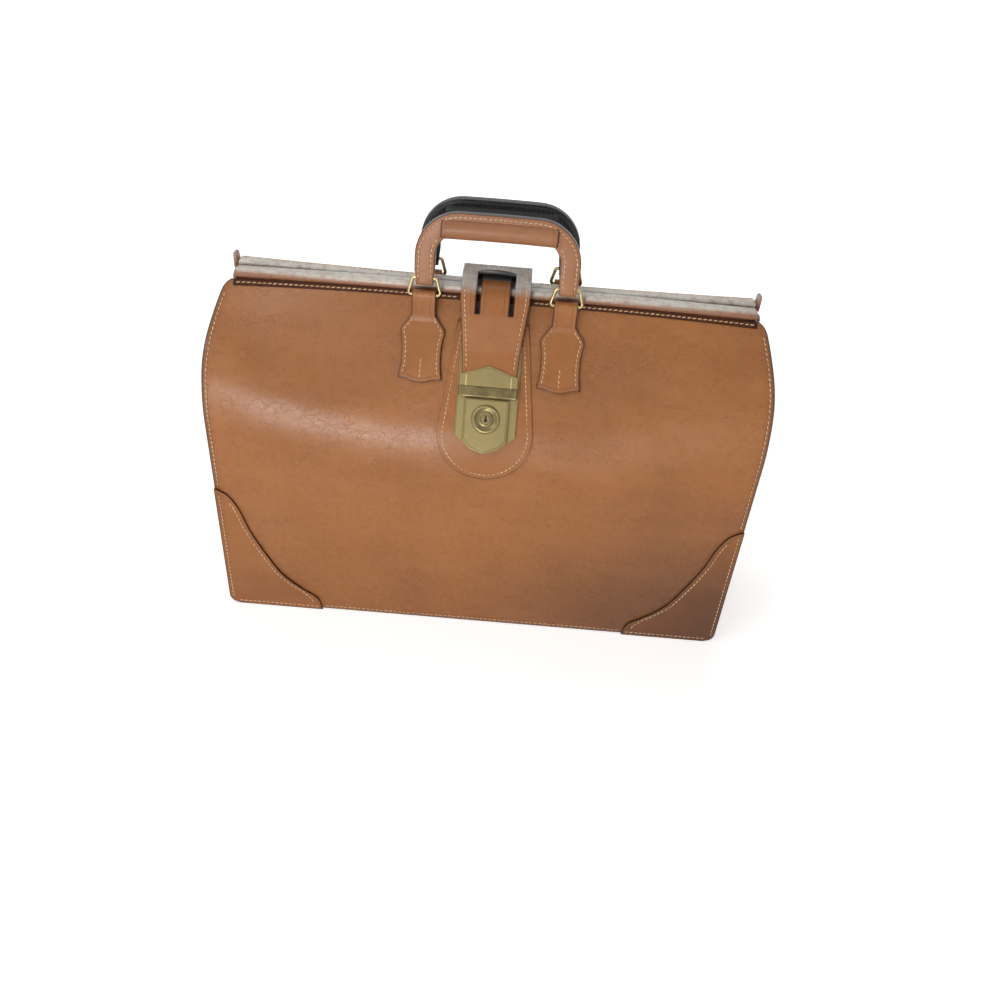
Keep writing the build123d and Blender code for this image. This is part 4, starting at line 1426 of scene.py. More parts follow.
@dataclass
class Frames:
    """Leather-wrapped frame bars, the ears at the back bar's ends, and the steel and rivets inside."""

    shop: Workshop
    split: float = 0.8
    depth: float = 11.0
    bottom: float = 284.0
    height: float = 6.5
    half_length: float = 198.4
    ear_x: float = 200.15
    ear_height: float = 12.4
    ear_depth: Pair = (1.4, 11.2)

    def build(self) -> None:
        """Makes both bars and dresses the metal."""
        for side in Side:
            self.bar(side)
            self.welt(side)
            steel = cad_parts[f"{side.word}_frame_steel"]
            dress(steel, self.shop.steel, 0.3)
        dress(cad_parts["frame_rivets"], self.shop.brass, 0.4)
        self.ears()

    def bar(self, side: Side) -> None:
        """One bar with its wrapped leather cover.

        Args:
            side: Side of the case.
        """
        low = (-self.half_length, -self.split - self.depth, self.bottom)
        high = (self.half_length, -self.split, self.bottom + self.height)
        bm = block(low, high, 2.3, 4, (60, 1, 1))
        for vert in bm.verts:
            wave = noise.noise(Vector((vert.co.x / 60.0, 2.0 * side.value, 0.0)))
            climb = (vert.co.z - self.bottom) / self.height
            sag = self.sag(vert.co.x) if side is Side.BACK else 0.0
            droop = 0.6 * (SKIN.top(0.0) - SKIN.top(vert.co.x)) if side is Side.FRONT else 0.0
            vert.co.z += climb * (0.25 * wave - sag) - droop
        piece = finished(f"{side.word}_bar_leather", bm, [self.shop.bar], side.matrix())
        mark(piece, "rim", lambda co: self.half_length - abs(co.x) + 1.2)
        # Painted sheen: the bar's top face is drawn pale as a reflection.
        mark(piece, "bloom", lambda co: held((co.z - self.bottom - 3.0) / 2.2))
        # Painted shade along the bar's edge where the two bars meet.
        mark(piece, "soil", lambda co: held((self.split + 1.9 - abs(co.y)) / 0.9))
        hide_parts(f"{side.word}_bar_cover")
        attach(piece, f"{side.word}_frame")
        if side is Side.BACK:
            y = -self.split - self.depth + 3.2
            top = self.bottom + self.height
            spots = [x for x in steps(-195, 195, 60) if abs(x) > 28]
            rows = [[x for x in spots if x * way > 0] for way in (-1, 1)]
            trails = [[(Vector((x, y, top - self.sag(x))), Vector((0, 0, 1))) for x in row] for row in rows]
            stitches = Stitching().lay("back_bar_stitches", trails, self.shop.thread, side.matrix())
            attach(stitches, "back_frame")

    def sag(self, x: float) -> float:
        """How far the back bar's top lies below its plain block at x."""
        return 1.1 - 2.4 * (x / self.half_length) ** 2

    def welt(self, side: Side) -> None:
        """Narrow folded strip that closes the line between a bar and its panel, near-black as painted shade.

        Args:
            side: Side of the case.
        """
        section = rounded_section(3.4, 3.0, 1.3)
        stations = []
        for x in steps(-197, 197, 50):
            top = SKIN.point(x, SKIN.top(x))
            spot = Vector((x, top.y + 0.9, (top.z + self.bottom) / 2 + 0.1))
            tall = 1.0 + max(0.0, self.bottom - top.z - 0.8) / 3.4
            turn = Matrix.Rotation(math.pi / 2, 4, "Y")
            stations.append(Matrix.Translation(spot) @ turn @ Matrix.Diagonal((tall, 1.0, 1.0, 1.0)))
        bm = bmesh.new()
        swept(bm, section, stations)
        # Near-black leather: painted shade in the line under the bar.
        piece = finished(f"{side.word}_bar_welt", bm, [self.shop.binding], side.matrix())
        mark(piece, "rim", lambda co: 1.0)
        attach(piece, f"{side.word}_frame")

    def ears(self) -> None:
        """Stitched ears that stand at the ends of the back bar."""
        for way in (1, -1):
            near, far = self.ear_depth
            low = (way * self.ear_x - 1.45, near, self.bottom + 0.1)
            high = (way * self.ear_x + 1.45, far, self.bottom + self.ear_height)
            bm = block(low, high, 1.1, 3, (1, 6, 8))
            for vert in bm.verts:
                climb = max(0.0, (vert.co.z - self.bottom - 6) / (self.ear_height - 6))
                vert.co.y += ((near + far) / 2 - vert.co.y) * 0.3 * climb**2
                vert.co.x += way * 0.3 * climb
            hand = "right" if way > 0 else "left"
            piece = finished(f"{hand}_bar_ear", bm, [self.shop.trim])
            mark(
                piece, "rim",
                lambda co: min(co.y - near, far - co.y, self.bottom + self.ear_height - co.z) + 0.6,
            )
            # Painted sheen towards the ear's top.
            mark(piece, "bloom", lambda co: 0.5 * held((co.z - self.bottom - 3.0) / 8.0))
            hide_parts("back_bar_ears")
            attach(piece, "back_frame")
            face = way * (self.ear_x + 1.5)
            rows = [
                [(Vector((face, y, self.bottom + z)), Vector((way, 0, 0))) for z in steps(1.6, 10.6, 4)]
                for y in (3.4, 9.2)
            ]
            stitches = Stitching(pitch=3.2, length=2.5).lay(f"{hand}_bar_ear_stitches", rows, self.shop.thread)
            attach(stitches, "back_frame")


def dress(node: Object, material: Material, rounding: float = 0.0) -> None:
    """Gives a CAD node its finish and, where asked, rounded edges.

    Args:
        node: The node.
        material: Its finish.
        rounding: Width of the bevel.
    """
    node.data.materials.clear()
    node.data.materials.append(material)
    if rounding:
        soften(node, rounding)


@dataclass
class Tabs:
    """Shaped tabs on the slope that hold the rings, and the rings themselves."""

    shop: Workshop
    x: float = 53.0
    start: float = 7.4
    pivot: Pair = (-6.0, 10.8)
    loop_radius: float = 3.5
    layer: float = 1.75
    foot: float = 48.6
    leave: float = 12.0
    flat_steps: int = 20
    halves: tuple[Pair, ...] = (
        (-30, 9.0), (1.0, 9.1), (3.0, 10.2), (11.5, 16.4), (13.5, 16.9), (16.5, 16.2), (24, 15.1), (36, 15.0),
        (44, 16.0), (50, 17.0),
    )

    def profile(self) -> list[Pair]:
        """Side view of the outer layer as (down the slope, off the slope), from the tab's foot over the ring.

        Returns:
            Pairs of distances.
        """
        low = 2 * self.layer
        leave = Vector((self.leave, low))
        path = [(down, low) for down in steps(self.start + self.foot, self.leave, self.flat_steps)]
        gap = Vector(self.pivot) - leave
        reach = math.sqrt(gap.length_squared - self.loop_radius**2)
        way = math.atan2(gap.y, gap.x) - math.asin(self.loop_radius / gap.length)
        touch = leave + Vector((math.cos(way), math.sin(way))) * reach
        path += [tuple(leave.lerp(touch, t)) for t in (0.2, 0.4, 0.6, 0.8)]
        first = math.atan2(touch.y - self.pivot[1], touch.x - self.pivot[0])
        for turn in steps(0.0, math.radians(195), 9):
            spot = Vector((math.cos(first + turn), math.sin(first + turn))) * self.loop_radius
            path.append((self.pivot[0] + spot.x, self.pivot[1] + spot.y))
        path += [(2.0, 2.9), (6.5, 2.3)]
        return path

    def foot_line(self, a: float) -> float:
        """How far down the tab's lower edge lies: a blunt point between two shallow hollows."""
        depth = curve_through(((0.0, 2.7), (0.25, 2.3), (0.6, 0.5), (0.85, 0.1), (1.0, 0.0)))
        return self.foot + depth(abs(a))

    def outer_place(self, a: float, b: float) -> Vector:
        """Point of the outer layer for a share of its half width and a step of its side view.

        Args:
            a: Share of half the width.
            b: Step of the side view.

        Returns:
            The point.
        """
        path = self.profile()
        index = min(int(b), len(path) - 2)
        spot = Vector(path[index]).lerp(Vector(path[index + 1]), b - index)
        way = spot.x - self.start
        flat = b < self.flat_steps + 1
        if flat:
            way = way * self.foot_line(a) / self.foot
        half = curve_through(self.halves)(way if flat else 0.0)
        return SKIN.slope_frame() @ Vector((self.x + a * half, -(self.start + way), spot.y))

    def under_place(self, a: float, b: float) -> Vector:
        """Point of the lower layer.

        Args:
            a: Share across.
            b: Share along.

        Returns:
            The point.
        """
        way = b * self.foot_line(a)
        half = curve_through(self.halves)(way)
        return SKIN.slope_frame() @ Vector((self.x + a * half, -(self.start + way), self.layer))

    def rows(self) -> list[Trail]:
        """Stitch rows down both sides and the short row in the lower middle.

        Returns:
            The rows.
        """
        half = curve_through(self.halves)
        rows = [
            [(way * (half(down) - 3.0), down) for down in steps(1.0, self.foot - 3.5, 26)] for way in (-1, 1)
        ]
        rows.append([(0.0, down) for down in steps(33, self.foot - 0.5, 5)])
        turn = SKIN.slope_frame()
        out = (turn.to_3x3() @ Vector((0, 0, 1))).normalized()
        high = 2 * self.layer
        return [
            [(turn @ Vector((self.x + x, -self.start - down, high)), out) for x, down in row] for row in rows
        ]

    def build(self) -> None:
        """Makes the four tabs and dresses the four rings."""
        length = len(self.profile()) - 1
        across = steps(-1, 1, 16)
        outer = Sheet(
            across, [float(i) for i in range(length + 1)], self.outer_place, self.layer, rounding=0.45
        )
        under = Sheet(across, steps(1, 0, 20), self.under_place, self.layer - 0.2, rounding=0.3)
        slots = self.shop.leather(self.shop.trim)
        for side, left, hand in corners():
            name = f"{side.word}_{hand}_tab"
            piece = outer.build(slots, side.matrix(left), f"{name}_leather")
            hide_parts(name)
            lower = under.build(slots, side.matrix(left), f"{name}_backing")
            sewing = Stitching(pitch=3.5, length=2.8)
            stitches = sewing.lay(f"{name}_stitches", self.rows(), self.shop.thread, side.matrix(left))
            for item in (piece, lower, stitches):
                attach(item, f"{side.word}_side")
            dress(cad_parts[f"{side.word}_{hand}_ring"], self.shop.bright_brass)


@dataclass
class Handles:
    """Arched handles: stacked leather with inked edges, near-black inner faces as painted shade, and a rounded
    grip.
    """

    shop: Workshop
    pivot: Pair = (-21.0, 285.5)
    lean: float = math.radians(4)
    half: float = 60.5
    width: float = 15.0
    thick: float = 7.0
    low: float = 8.9
    top: float = 63.0
    corner: float = 33.0
    window_corner: float = 16.0
    grip_half: float = 42.0
    grip_radii: Pair = (8.3, 7.5)
    grip_drop: float = 11.8

    def plane(self) -> Matrix:
        """Frame of a front handle: x across, y up it and z towards the front.

        Returns:
            Matrix from the handle's plane to the case's frame.
        """
        rise, back = math.cos(self.lean), math.sin(self.lean)
        rows = (
            (1.0, 0.0, 0.0, 0.0),
            (0.0, back, -rise, self.pivot[0]),
            (0.0, rise, back, self.pivot[1]),
            (0.0, 0.0, 0.0, 1.0),
        )
        return Matrix(rows)

    def line(self, inset: float) -> Trail:
        """Points and outward directions along the arch, moved in from its outer edge.

        Args:
            inset: Distance from the outer edge.

        Returns:
            Points and directions, in order.
        """
        half, top = self.half - inset, self.top - inset
        corner = self.corner + (self.window_corner - self.corner) * inset / self.width
        found = [(Vector((half, y, 0)), Vector((1, 0, 0))) for y in steps(self.low, top - corner, 9)]
        for angle in steps(0, math.pi / 2, 14)[1:]:
            out = Vector((math.cos(angle), math.sin(angle), 0))
            found.append((Vector((half - corner, top - corner, 0)) + out * corner, out))
        found += [(Vector((x, top, 0)), Vector((0, 1, 0))) for x in steps(half - corner, 0, 6)[1:]]
        return found + [(Vector((-p.x, p.y, 0)), Vector((-n.x, n.y, 0))) for p, n in reversed(found[:-1])]

    def bent(self, section: Sequence[Vector], stations: Sequence[Matrix]) -> BMesh:
        """Sweeps a section along the handle and lets the ridge's ends dip.

        Args:
            section: Points of the section.
            stations: Its place, turn and scale along the way.

        Returns:
            The mesh.
        """
        bm = bmesh.new()
        swept(bm, section, stations)
        for vert in bm.verts:
            vert.co.y -= self.bow(vert.co)
        bm.normal_update()
        return bm

    def arch(self) -> BMesh:
        """The arched strap in its own plane.

        Returns:
            The mesh, with inked edges and the inner face, in painted shade, in slot 1.
        """
        stations = []
        front = Vector((0, 0, 1))
        for spot, out in self.line(self.width / 2):
            along = front.cross(out)
            narrow = min(1.0, 0.84 + 0.16 * max(0.0, (spot.y - self.low - 3.0) / 10.0))
            basis = Matrix((out * narrow, front, -along)).transposed().to_4x4()
            stations.append(Matrix.Translation(spot) @ basis)
        bm = self.bent(rounded_section(self.width, self.thick, 1.1, 0.35), stations)
        # The inner face, which faces the other handle, takes the black finish as painted shade.
        for face in bm.faces:
            face.material_index = 0 if face.normal.z > 0.55 else 1
        return bm

    def grip(self) -> BMesh:
        """The rounded grip under the arch's ridge.

        Returns:
            The mesh, with its inner side, in painted shade, in slot 1.
        """
        section = []
        for index in range(20):
            angle = 2 * math.pi * index / 20
            c, s = math.cos(angle), math.sin(angle)
            x, y = (r * math.copysign(abs(v) ** 0.9, v) for r, v in zip(self.grip_radii, (c, s)))
            section.append(Vector((x, y, 0)))
        stations = []
        turn = Matrix.Rotation(math.pi / 2, 4, "Y")
        half = self.grip_half
        for x in (-half, -half + 0.5, *steps(-half + 1.5, half - 1.5, 34), half - 0.5, half):
            end = half - abs(x)
            swell = 0.93 + 0.07 * min(1.0, end / 1.5) ** 0.5 + 0.012 * noise.noise(Vector((x / 9.0, 0.3, 1.0)))
            spread = Matrix.Diagonal((swell, swell, 1.0, 1.0))
            stations.append(Matrix.Translation((x, self.top - self.grip_drop, 0)) @ turn @ spread)
        bm = self.bent(section, stations)
        # The grip's inner side takes the near-black finish as painted shade.
        for face in bm.faces:
            face.material_index = 1 if face.normal.z < -0.1 else 0
        return bm

    def bow(self, spot: Vector) -> float:
        """How far the arch and grip dip away from the middle of the ridge."""
        return 1.3 * min(1.0, abs(spot.x) / self.half) ** 2 * max(0.0, spot.y / self.top)

    def rows(self, face: int) -> list[Trail]:
        """Stitch rows along the outer and inner edges of one face: 1 is the outer face and -1 the inner.

        Args:
            face: 1 or -1.

        Returns:
            The rows.
        """
        height = face * (self.thick / 2 + 0.12)
        out = Vector((0, 0, face))
        trails = [[(p + Vector((0, 0, height)), out) for p, _ in self.line(2.9)[2:-2]]]
        inner = [(p + Vector((0, 0, height)), out) for p, _ in self.line(self.width - 3.1)]
        trails.append([row for row in inner[2:] if row[0].x > self.grip_half + 1.5])
        trails.append([row for row in inner[:-2] if row[0].x < -self.grip_half - 1.5])
        trails = [[(spot - Vector((0, self.bow(spot), 0)), out) for spot, out in trail] for trail in trails]
        return [trail for trail in trails if len(trail) > 1]

    def build(self) -> None:
        """Makes both handles."""
        for side in Side:
            matrix = side.matrix() @ self.plane()
            body = f"{side.word}_handle"
            arch = finished(f"{body}_leather", self.arch(), [self.shop.handle, self.shop.black_edge], matrix)
            flat = matrix.inverted()
            mark(arch, "rim", lambda co: self.rim(flat @ co))
            mark(arch, "layer", lambda co: (flat @ co).z + self.thick / 2)
            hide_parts(f"{body}_strap")
            grip = finished(
                f"{body}_grip_leather", self.grip(), [self.shop.handle, self.shop.black_side], matrix
            )
            mark(grip, "rim", lambda co: self.grip_half - abs(co.x) - 0.3)
            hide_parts(f"{body}_grip")
            sewing = Stitching(pitch=3.6, length=2.9)
            outer = sewing.lay(f"{body}_stitches", self.rows(1), self.shop.thread, matrix)
            # Near-black thread on the inner face: painted shade.
            inner = sewing.lay(f"{body}_inner_stitches", self.rows(-1), self.shop.dark_thread, matrix)
            for piece in (arch, grip, outer, inner):
                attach(piece, body)

    def rim(self, spot: Vector) -> float:
        """Distance of a point of the arch from its nearer long edge.

        Args:
            spot: Place in the handle's plane.

        Returns:
            The distance.
        """
        beyond = Vector((abs(spot.x) - self.half + self.corner, spot.y - self.top + self.corner))
        if beyond.x > 0 and beyond.y > 0:
            outer = self.corner - beyond.length
        else:
            outer = min(self.half - abs(spot.x), self.top - spot.y)
        return max(0.0, min(outer, self.width - outer))


@dataclass
class Strap:
    """Closing strap with its two slits, its middle strip, its sewn rear end and the brass hasp."""

    shop: Workshop
    thickness: float = 3.2
    crown: float = 301.0
    off_slope: float = 7.8
    end: float = 65.0
    top_half: float = 26.0
    end_half: float = 21.0
    slit_in: float = 10.95
    slit_out: float = 14.25
    slit_foot: float = 262.0
    window_back: float = -4.5
    window_front: float = -27.5
    strip_back: float = -5.2
    rear_centre: Pair = (8.0, 293.6)
    rear_radius: float = 7.4
    anchor_corner: float = 6.0
    strip_drop: tuple[Pair, ...] = ((-27.5, 0.0), (-24, 1.1), (-19, 2.9), (-12, 4.9), (-5.2, 6.2))

    def slope(self, down: float, off: float) -> Vector:
        """(y, z) of a place down the slope and off it."""
        spot = SKIN.slope_frame() @ Vector((0, -down, off))
        return Vector((spot.y, spot.z))

    @cached_property
    def path(self) -> tuple[Vector, ...]:
        """Side view of the strap's outer face from behind the back bar over the crown to its end.

        Returns:
            Pairs of y and z, in order.
        """
        centre = Vector(self.rear_centre)
        back = centre.x + self.rear_radius
        path = [Vector((back, 283.9)), Vector((back + 0.1, 288.0))]
        for t in steps(0, math.pi / 2, 5):
            path.append(centre + Vector((math.cos(t), math.sin(t))) * self.rear_radius)
        path.append(Vector((3.0, self.crown)))
        start = Vector((-2.0, self.crown))
        land = self.slope(-2.0, self.off_slope + 5.4)
        drop = self.crown - land.y
        radius = (land - start).length_squared / (2 * drop)
        total = math.acos(1 - drop / radius)
        hem, strip = (math.asin((start.x - y) / radius) for y in (self.window_back, self.strip_back))
        for t in (0.0, hem, *steps(strip, total, 9)):
            path.append(start + Vector((-radius * math.sin(t), -radius * (1 - math.cos(t)))))
        bend = self.slope(34.0, self.off_slope)
        meet = (land.x - self.window_front) / (land.x - bend.x)
        path += [land.lerp(bend, t) for t in (*steps(0, meet, 2)[1:], *steps(meet, 1, 9)[1:])]
        last = self.slope(self.end, self.off_slope)
        path += [bend.lerp(last, t) for t in steps(0, 1, 9)[1:]]
        return tuple(path)

    def half(self, spot: Vector) -> float:
        """Half the strap's width at a place of its side view.

        Args:
            spot: Pair of y and z.

        Returns:
            Half the width.
        """
        if spot.x > 2:
            return self.top_half
        end, top = self.end_half, self.top_half
        return curve_through(((236, end), (246, end + 0.6), (268, top - 2.2), (286, top)))(spot.y)

    def place(self, a: float, b: float) -> Vector:
        """Point for an across line in millimetres at full width and a step of the side view.

        Args:
            a: Distance across at full width.
            b: Step of the side view.

        Returns:
            The point.
        """
        path = self.path
        index = min(int(b), len(path) - 2)
        spot = path[index].lerp(path[index + 1], b - index)
        along = (path[index + 1] - path[max(0, index - 1)]).normalized()
        out = Vector((along.y, -along.x))
        lift = 0.16 * noise.noise(Vector((a / 7.0, b * 0.7, 2.2)))
        if abs(a) < self.slit_in + 0.1 and spot.x < self.strip_back + 0.1 and spot.y > self.slit_foot:
            lift -= curve_through(self.strip_drop)(spot.x)
        elif abs(a) < self.slit_out + 0.1 and self.window_back - 0.1 < spot.x < 6.0:
            fade = 1 - max(0.0, spot.x - self.window_back) / 10.5
            lift += 1.7 * math.cos(a / self.slit_out * math.pi / 2) * fade
        x = a
        if abs(a) > self.slit_out:
            spread = (self.half(spot) - self.slit_out) / (self.top_half - self.slit_out)
            x = math.copysign(self.slit_out + (abs(a) - self.slit_out) * spread, a)
        spot = spot + out * lift
        return Vector((x, spot.x, spot.y))

    def in_slit(self, a: float, b: float) -> bool:
        """Whether a cell lies in one of the two slits or in the gap between crown and middle strip.

        Args:
            a: Distance across.
            b: Step of the side view.

        Returns:
            Whether the cell is cut out.
        """
        path = self.path
        step = min(int(b), len(path) - 2)
        y = (path[step].x + path[step + 1].x) / 2
        if path[step].y < self.slit_foot:
            return False
        if abs(a) < self.slit_in:
            return self.strip_back < y < self.window_back
        return abs(a) < self.slit_out and self.window_front < y < self.window_back

    def reach(self, a: float, b: float) -> float:
        """Distance to the edge of the nearer slit or of the crown.

        Args:
            a: Distance across.
            b: Step of the side view.

        Returns:
            The distance.
        """
        spot = self.path[min(int(b), len(self.path) - 1)]
        if abs(a) < self.slit_out + 0.1 and self.window_back - 0.1 < spot.x < 4.0:
            return spot.x - self.window_back
        if self.window_front - 0.5 < spot.x < self.window_back and spot.y > self.slit_foot:
            return min(abs(abs(a) - self.slit_in), abs(abs(a) - self.slit_out))
        return 50.0

    def outward(self, b: float) -> Vector:
        """Outward direction of the strap at a step of its side view.

        Args:
            b: Step of the side view.

        Returns:
            Unit vector.
        """
        path = self.path
        index = min(int(b), len(path) - 2)
        along = (path[index + 1] - path[index]).normalized()
        return Vector((0, along.y, -along.x))

    def build(self) -> None:
        """Makes the strap and what it carries."""
        path = self.path
        out_lines = steps(-self.top_half, -self.slit_out, 5)
        mid_lines = steps(-self.slit_in, self.slit_in, 10)
        across = [*out_lines, *mid_lines, *[-x for x in reversed(out_lines)]]
        along = [float(i) for i in range(len(path) - 1, -1, -1)]
        sheet = Sheet(across, along, self.place, self.thickness, self.in_slit, self.reach, rounding=0.6)
        # The inner face is near-black as painted shade, and the black edges darken the slits.
        piece = sheet.build(
            [self.shop.trim, self.shop.shadow_lining, self.shop.black_edge], None, "closing_strap_leather"
        )
        # Painted sheen: the strap's top over the bars is drawn grey as a highlight.
        mark(piece, "bloom", self.worn)
        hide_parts("closing_strap", "strap_rear_bend")
        rows = []
        sewn = range(1, len(path) - 6)
        for way in (-1, 1):
            inset = Vector((way * 3.2, 0, 0))
            rows.append([(self.place(way * self.top_half, float(b)) - inset, self.outward(b)) for b in sewn])
        rows.append([(Vector((x, 6.6, self.crown)), Vector((0, 0, 1))) for x in steps(-22, 22, 12)])
        stitches = Stitching(pitch=3.6, length=2.9).lay("closing_strap_stitches", rows, self.shop.thread)
        self.bend(piece)
        self.bend(stitches)
        self.strip()
        self.anchor()
        self.hasp()

    def worn(self, spot: Vector) -> float:
        """Painted grey sheen where the strap runs over the bars: a painted highlight.

        Args:
            spot: Place, in millimetres.

        Returns:
            0 where none is painted and 1 where grey.
        """
        if spot.y < self.window_back and abs(spot.x) < self.slit_in + 0.2:
            return 0.0
        return held((spot.z - 289.5) / 6.0)

    def bend(self, piece: Object) -> None:
        """Bakes the piece's place into its mesh; nothing bends it."""
        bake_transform(piece)

    def strip(self) -> None:
        """Rear part of the middle strip, which runs on under the crown to the back bar."""

        def place(a: float, b: float) -> Vector:
            """Point across the strip and along y."""
            front = self.crown - 0.2 - self.strip_drop[-1][1]
            return Vector((a, self.strip_back + b * (9.3 - self.strip_back), front - 0.4 * b))

        sheet = Sheet(steps(-self.slit_in, self.slit_in, 8), steps(0, 1, 8), place, 2.6, rounding=0.4)
        # Both faces near-black: painted shade under the crown.
        piece = sheet.build(
            [self.shop.shadow_lining, self.shop.shadow_lining, self.shop.black_edge], None,
            "strap_middle_strip_leather",
        )
        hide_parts("strap_middle_strip")
        self.bend(piece)

    def anchor(self) -> None:
        """Rear end of the strap, sewn to the back slope."""

        def place(a: float, b: float) -> Vector:
            """Point from the rounded foot to the bar.

            Args:
                a: Share of half the width.
                b: Share of the length.

            Returns:
                The point.
            """
            corner = max(0.0, (abs(a) - 1.0) * self.top_half + self.anchor_corner)
            foot = 197.3 + self.anchor_corner - math.sqrt(self.anchor_corner**2 - corner**2)
            z = foot + (283.5 - foot) * b
            rise = max(0.0, (z - 268.0) / 15.5)
            return SKIN.point(a * self.top_half, z, 3.3 + 1.6 * rise * rise)

        sheet = Sheet(steps(-1, 1, 22), steps(0, 1, 26), place, 3.1, rounding=0.6)
        piece = sheet.build(self.shop.leather(self.shop.trim), Side.BACK.matrix(), "strap_anchor_leather")
        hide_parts("strap_anchor")
        rows = [SKIN.trail([(way * 22.6, z) for z in steps(204, 270, 20)], 3.35) for way in (-1, 1)]
        rows.append(SKIN.trail([(x, 201.5) for x in steps(-19, 19, 10)], 3.35))
        stitches = Stitching().lay("strap_anchor_stitches", rows, self.shop.thread, Side.BACK.matrix())
        for item in (piece, stitches):
            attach(item, "back_side")

    def hasp(self) -> None:
        """Brass hasp plate: pointed at the top, raised in the middle, with a rounded band across its foot."""
        low = self.off_slope + 0.1
        foot = -self.end - 1.3
        wide = plate([(-22, foot), (22, foot), (22, -49.8), (0, -42.2), (-22, -49.8)], low, low + 1.0, 0.3)
        middle = plate(
            [(-17, foot), (17, foot), (17, -49.4), (0, -43.6), (-17, -49.4)], low + 0.6, low + 1.55, 0.35
        )
        creases = []
        for near, far in ((-17.5, -16.7), (16.7, 17.5)):
            outline = [(near, foot + 0.2), (far, foot + 0.2), (far, -50), (near, -50)]
            creases.append(plate(outline, low + 1.2, low + 1.75, 0.15))
            for face in creases[-1].faces:
                face.material_index = 1
        band = block((-22.2, foot - 0.1, low + 0.2), (22.2, foot + 8.2, low + 3.0), 1.35, 4, (9, 1, 1))
        for vert in band.verts:
            if abs(abs(vert.co.x) - 17.0) < 1.5:
                vert.co.z = min(vert.co.z, low + 2.4)
        whole = joined([wide, middle, *creases, band])
        slots = [self.shop.brass, self.shop.bright_brass]
        piece = even(finished("hasp_plate_brass", whole, slots, SKIN.slope_frame()))
        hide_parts("hasp_plate")
        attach(piece, "strap")
        for node in ("hasp_tongue", "hasp_rivets"):
            dress(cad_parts[node], self.shop.brass)


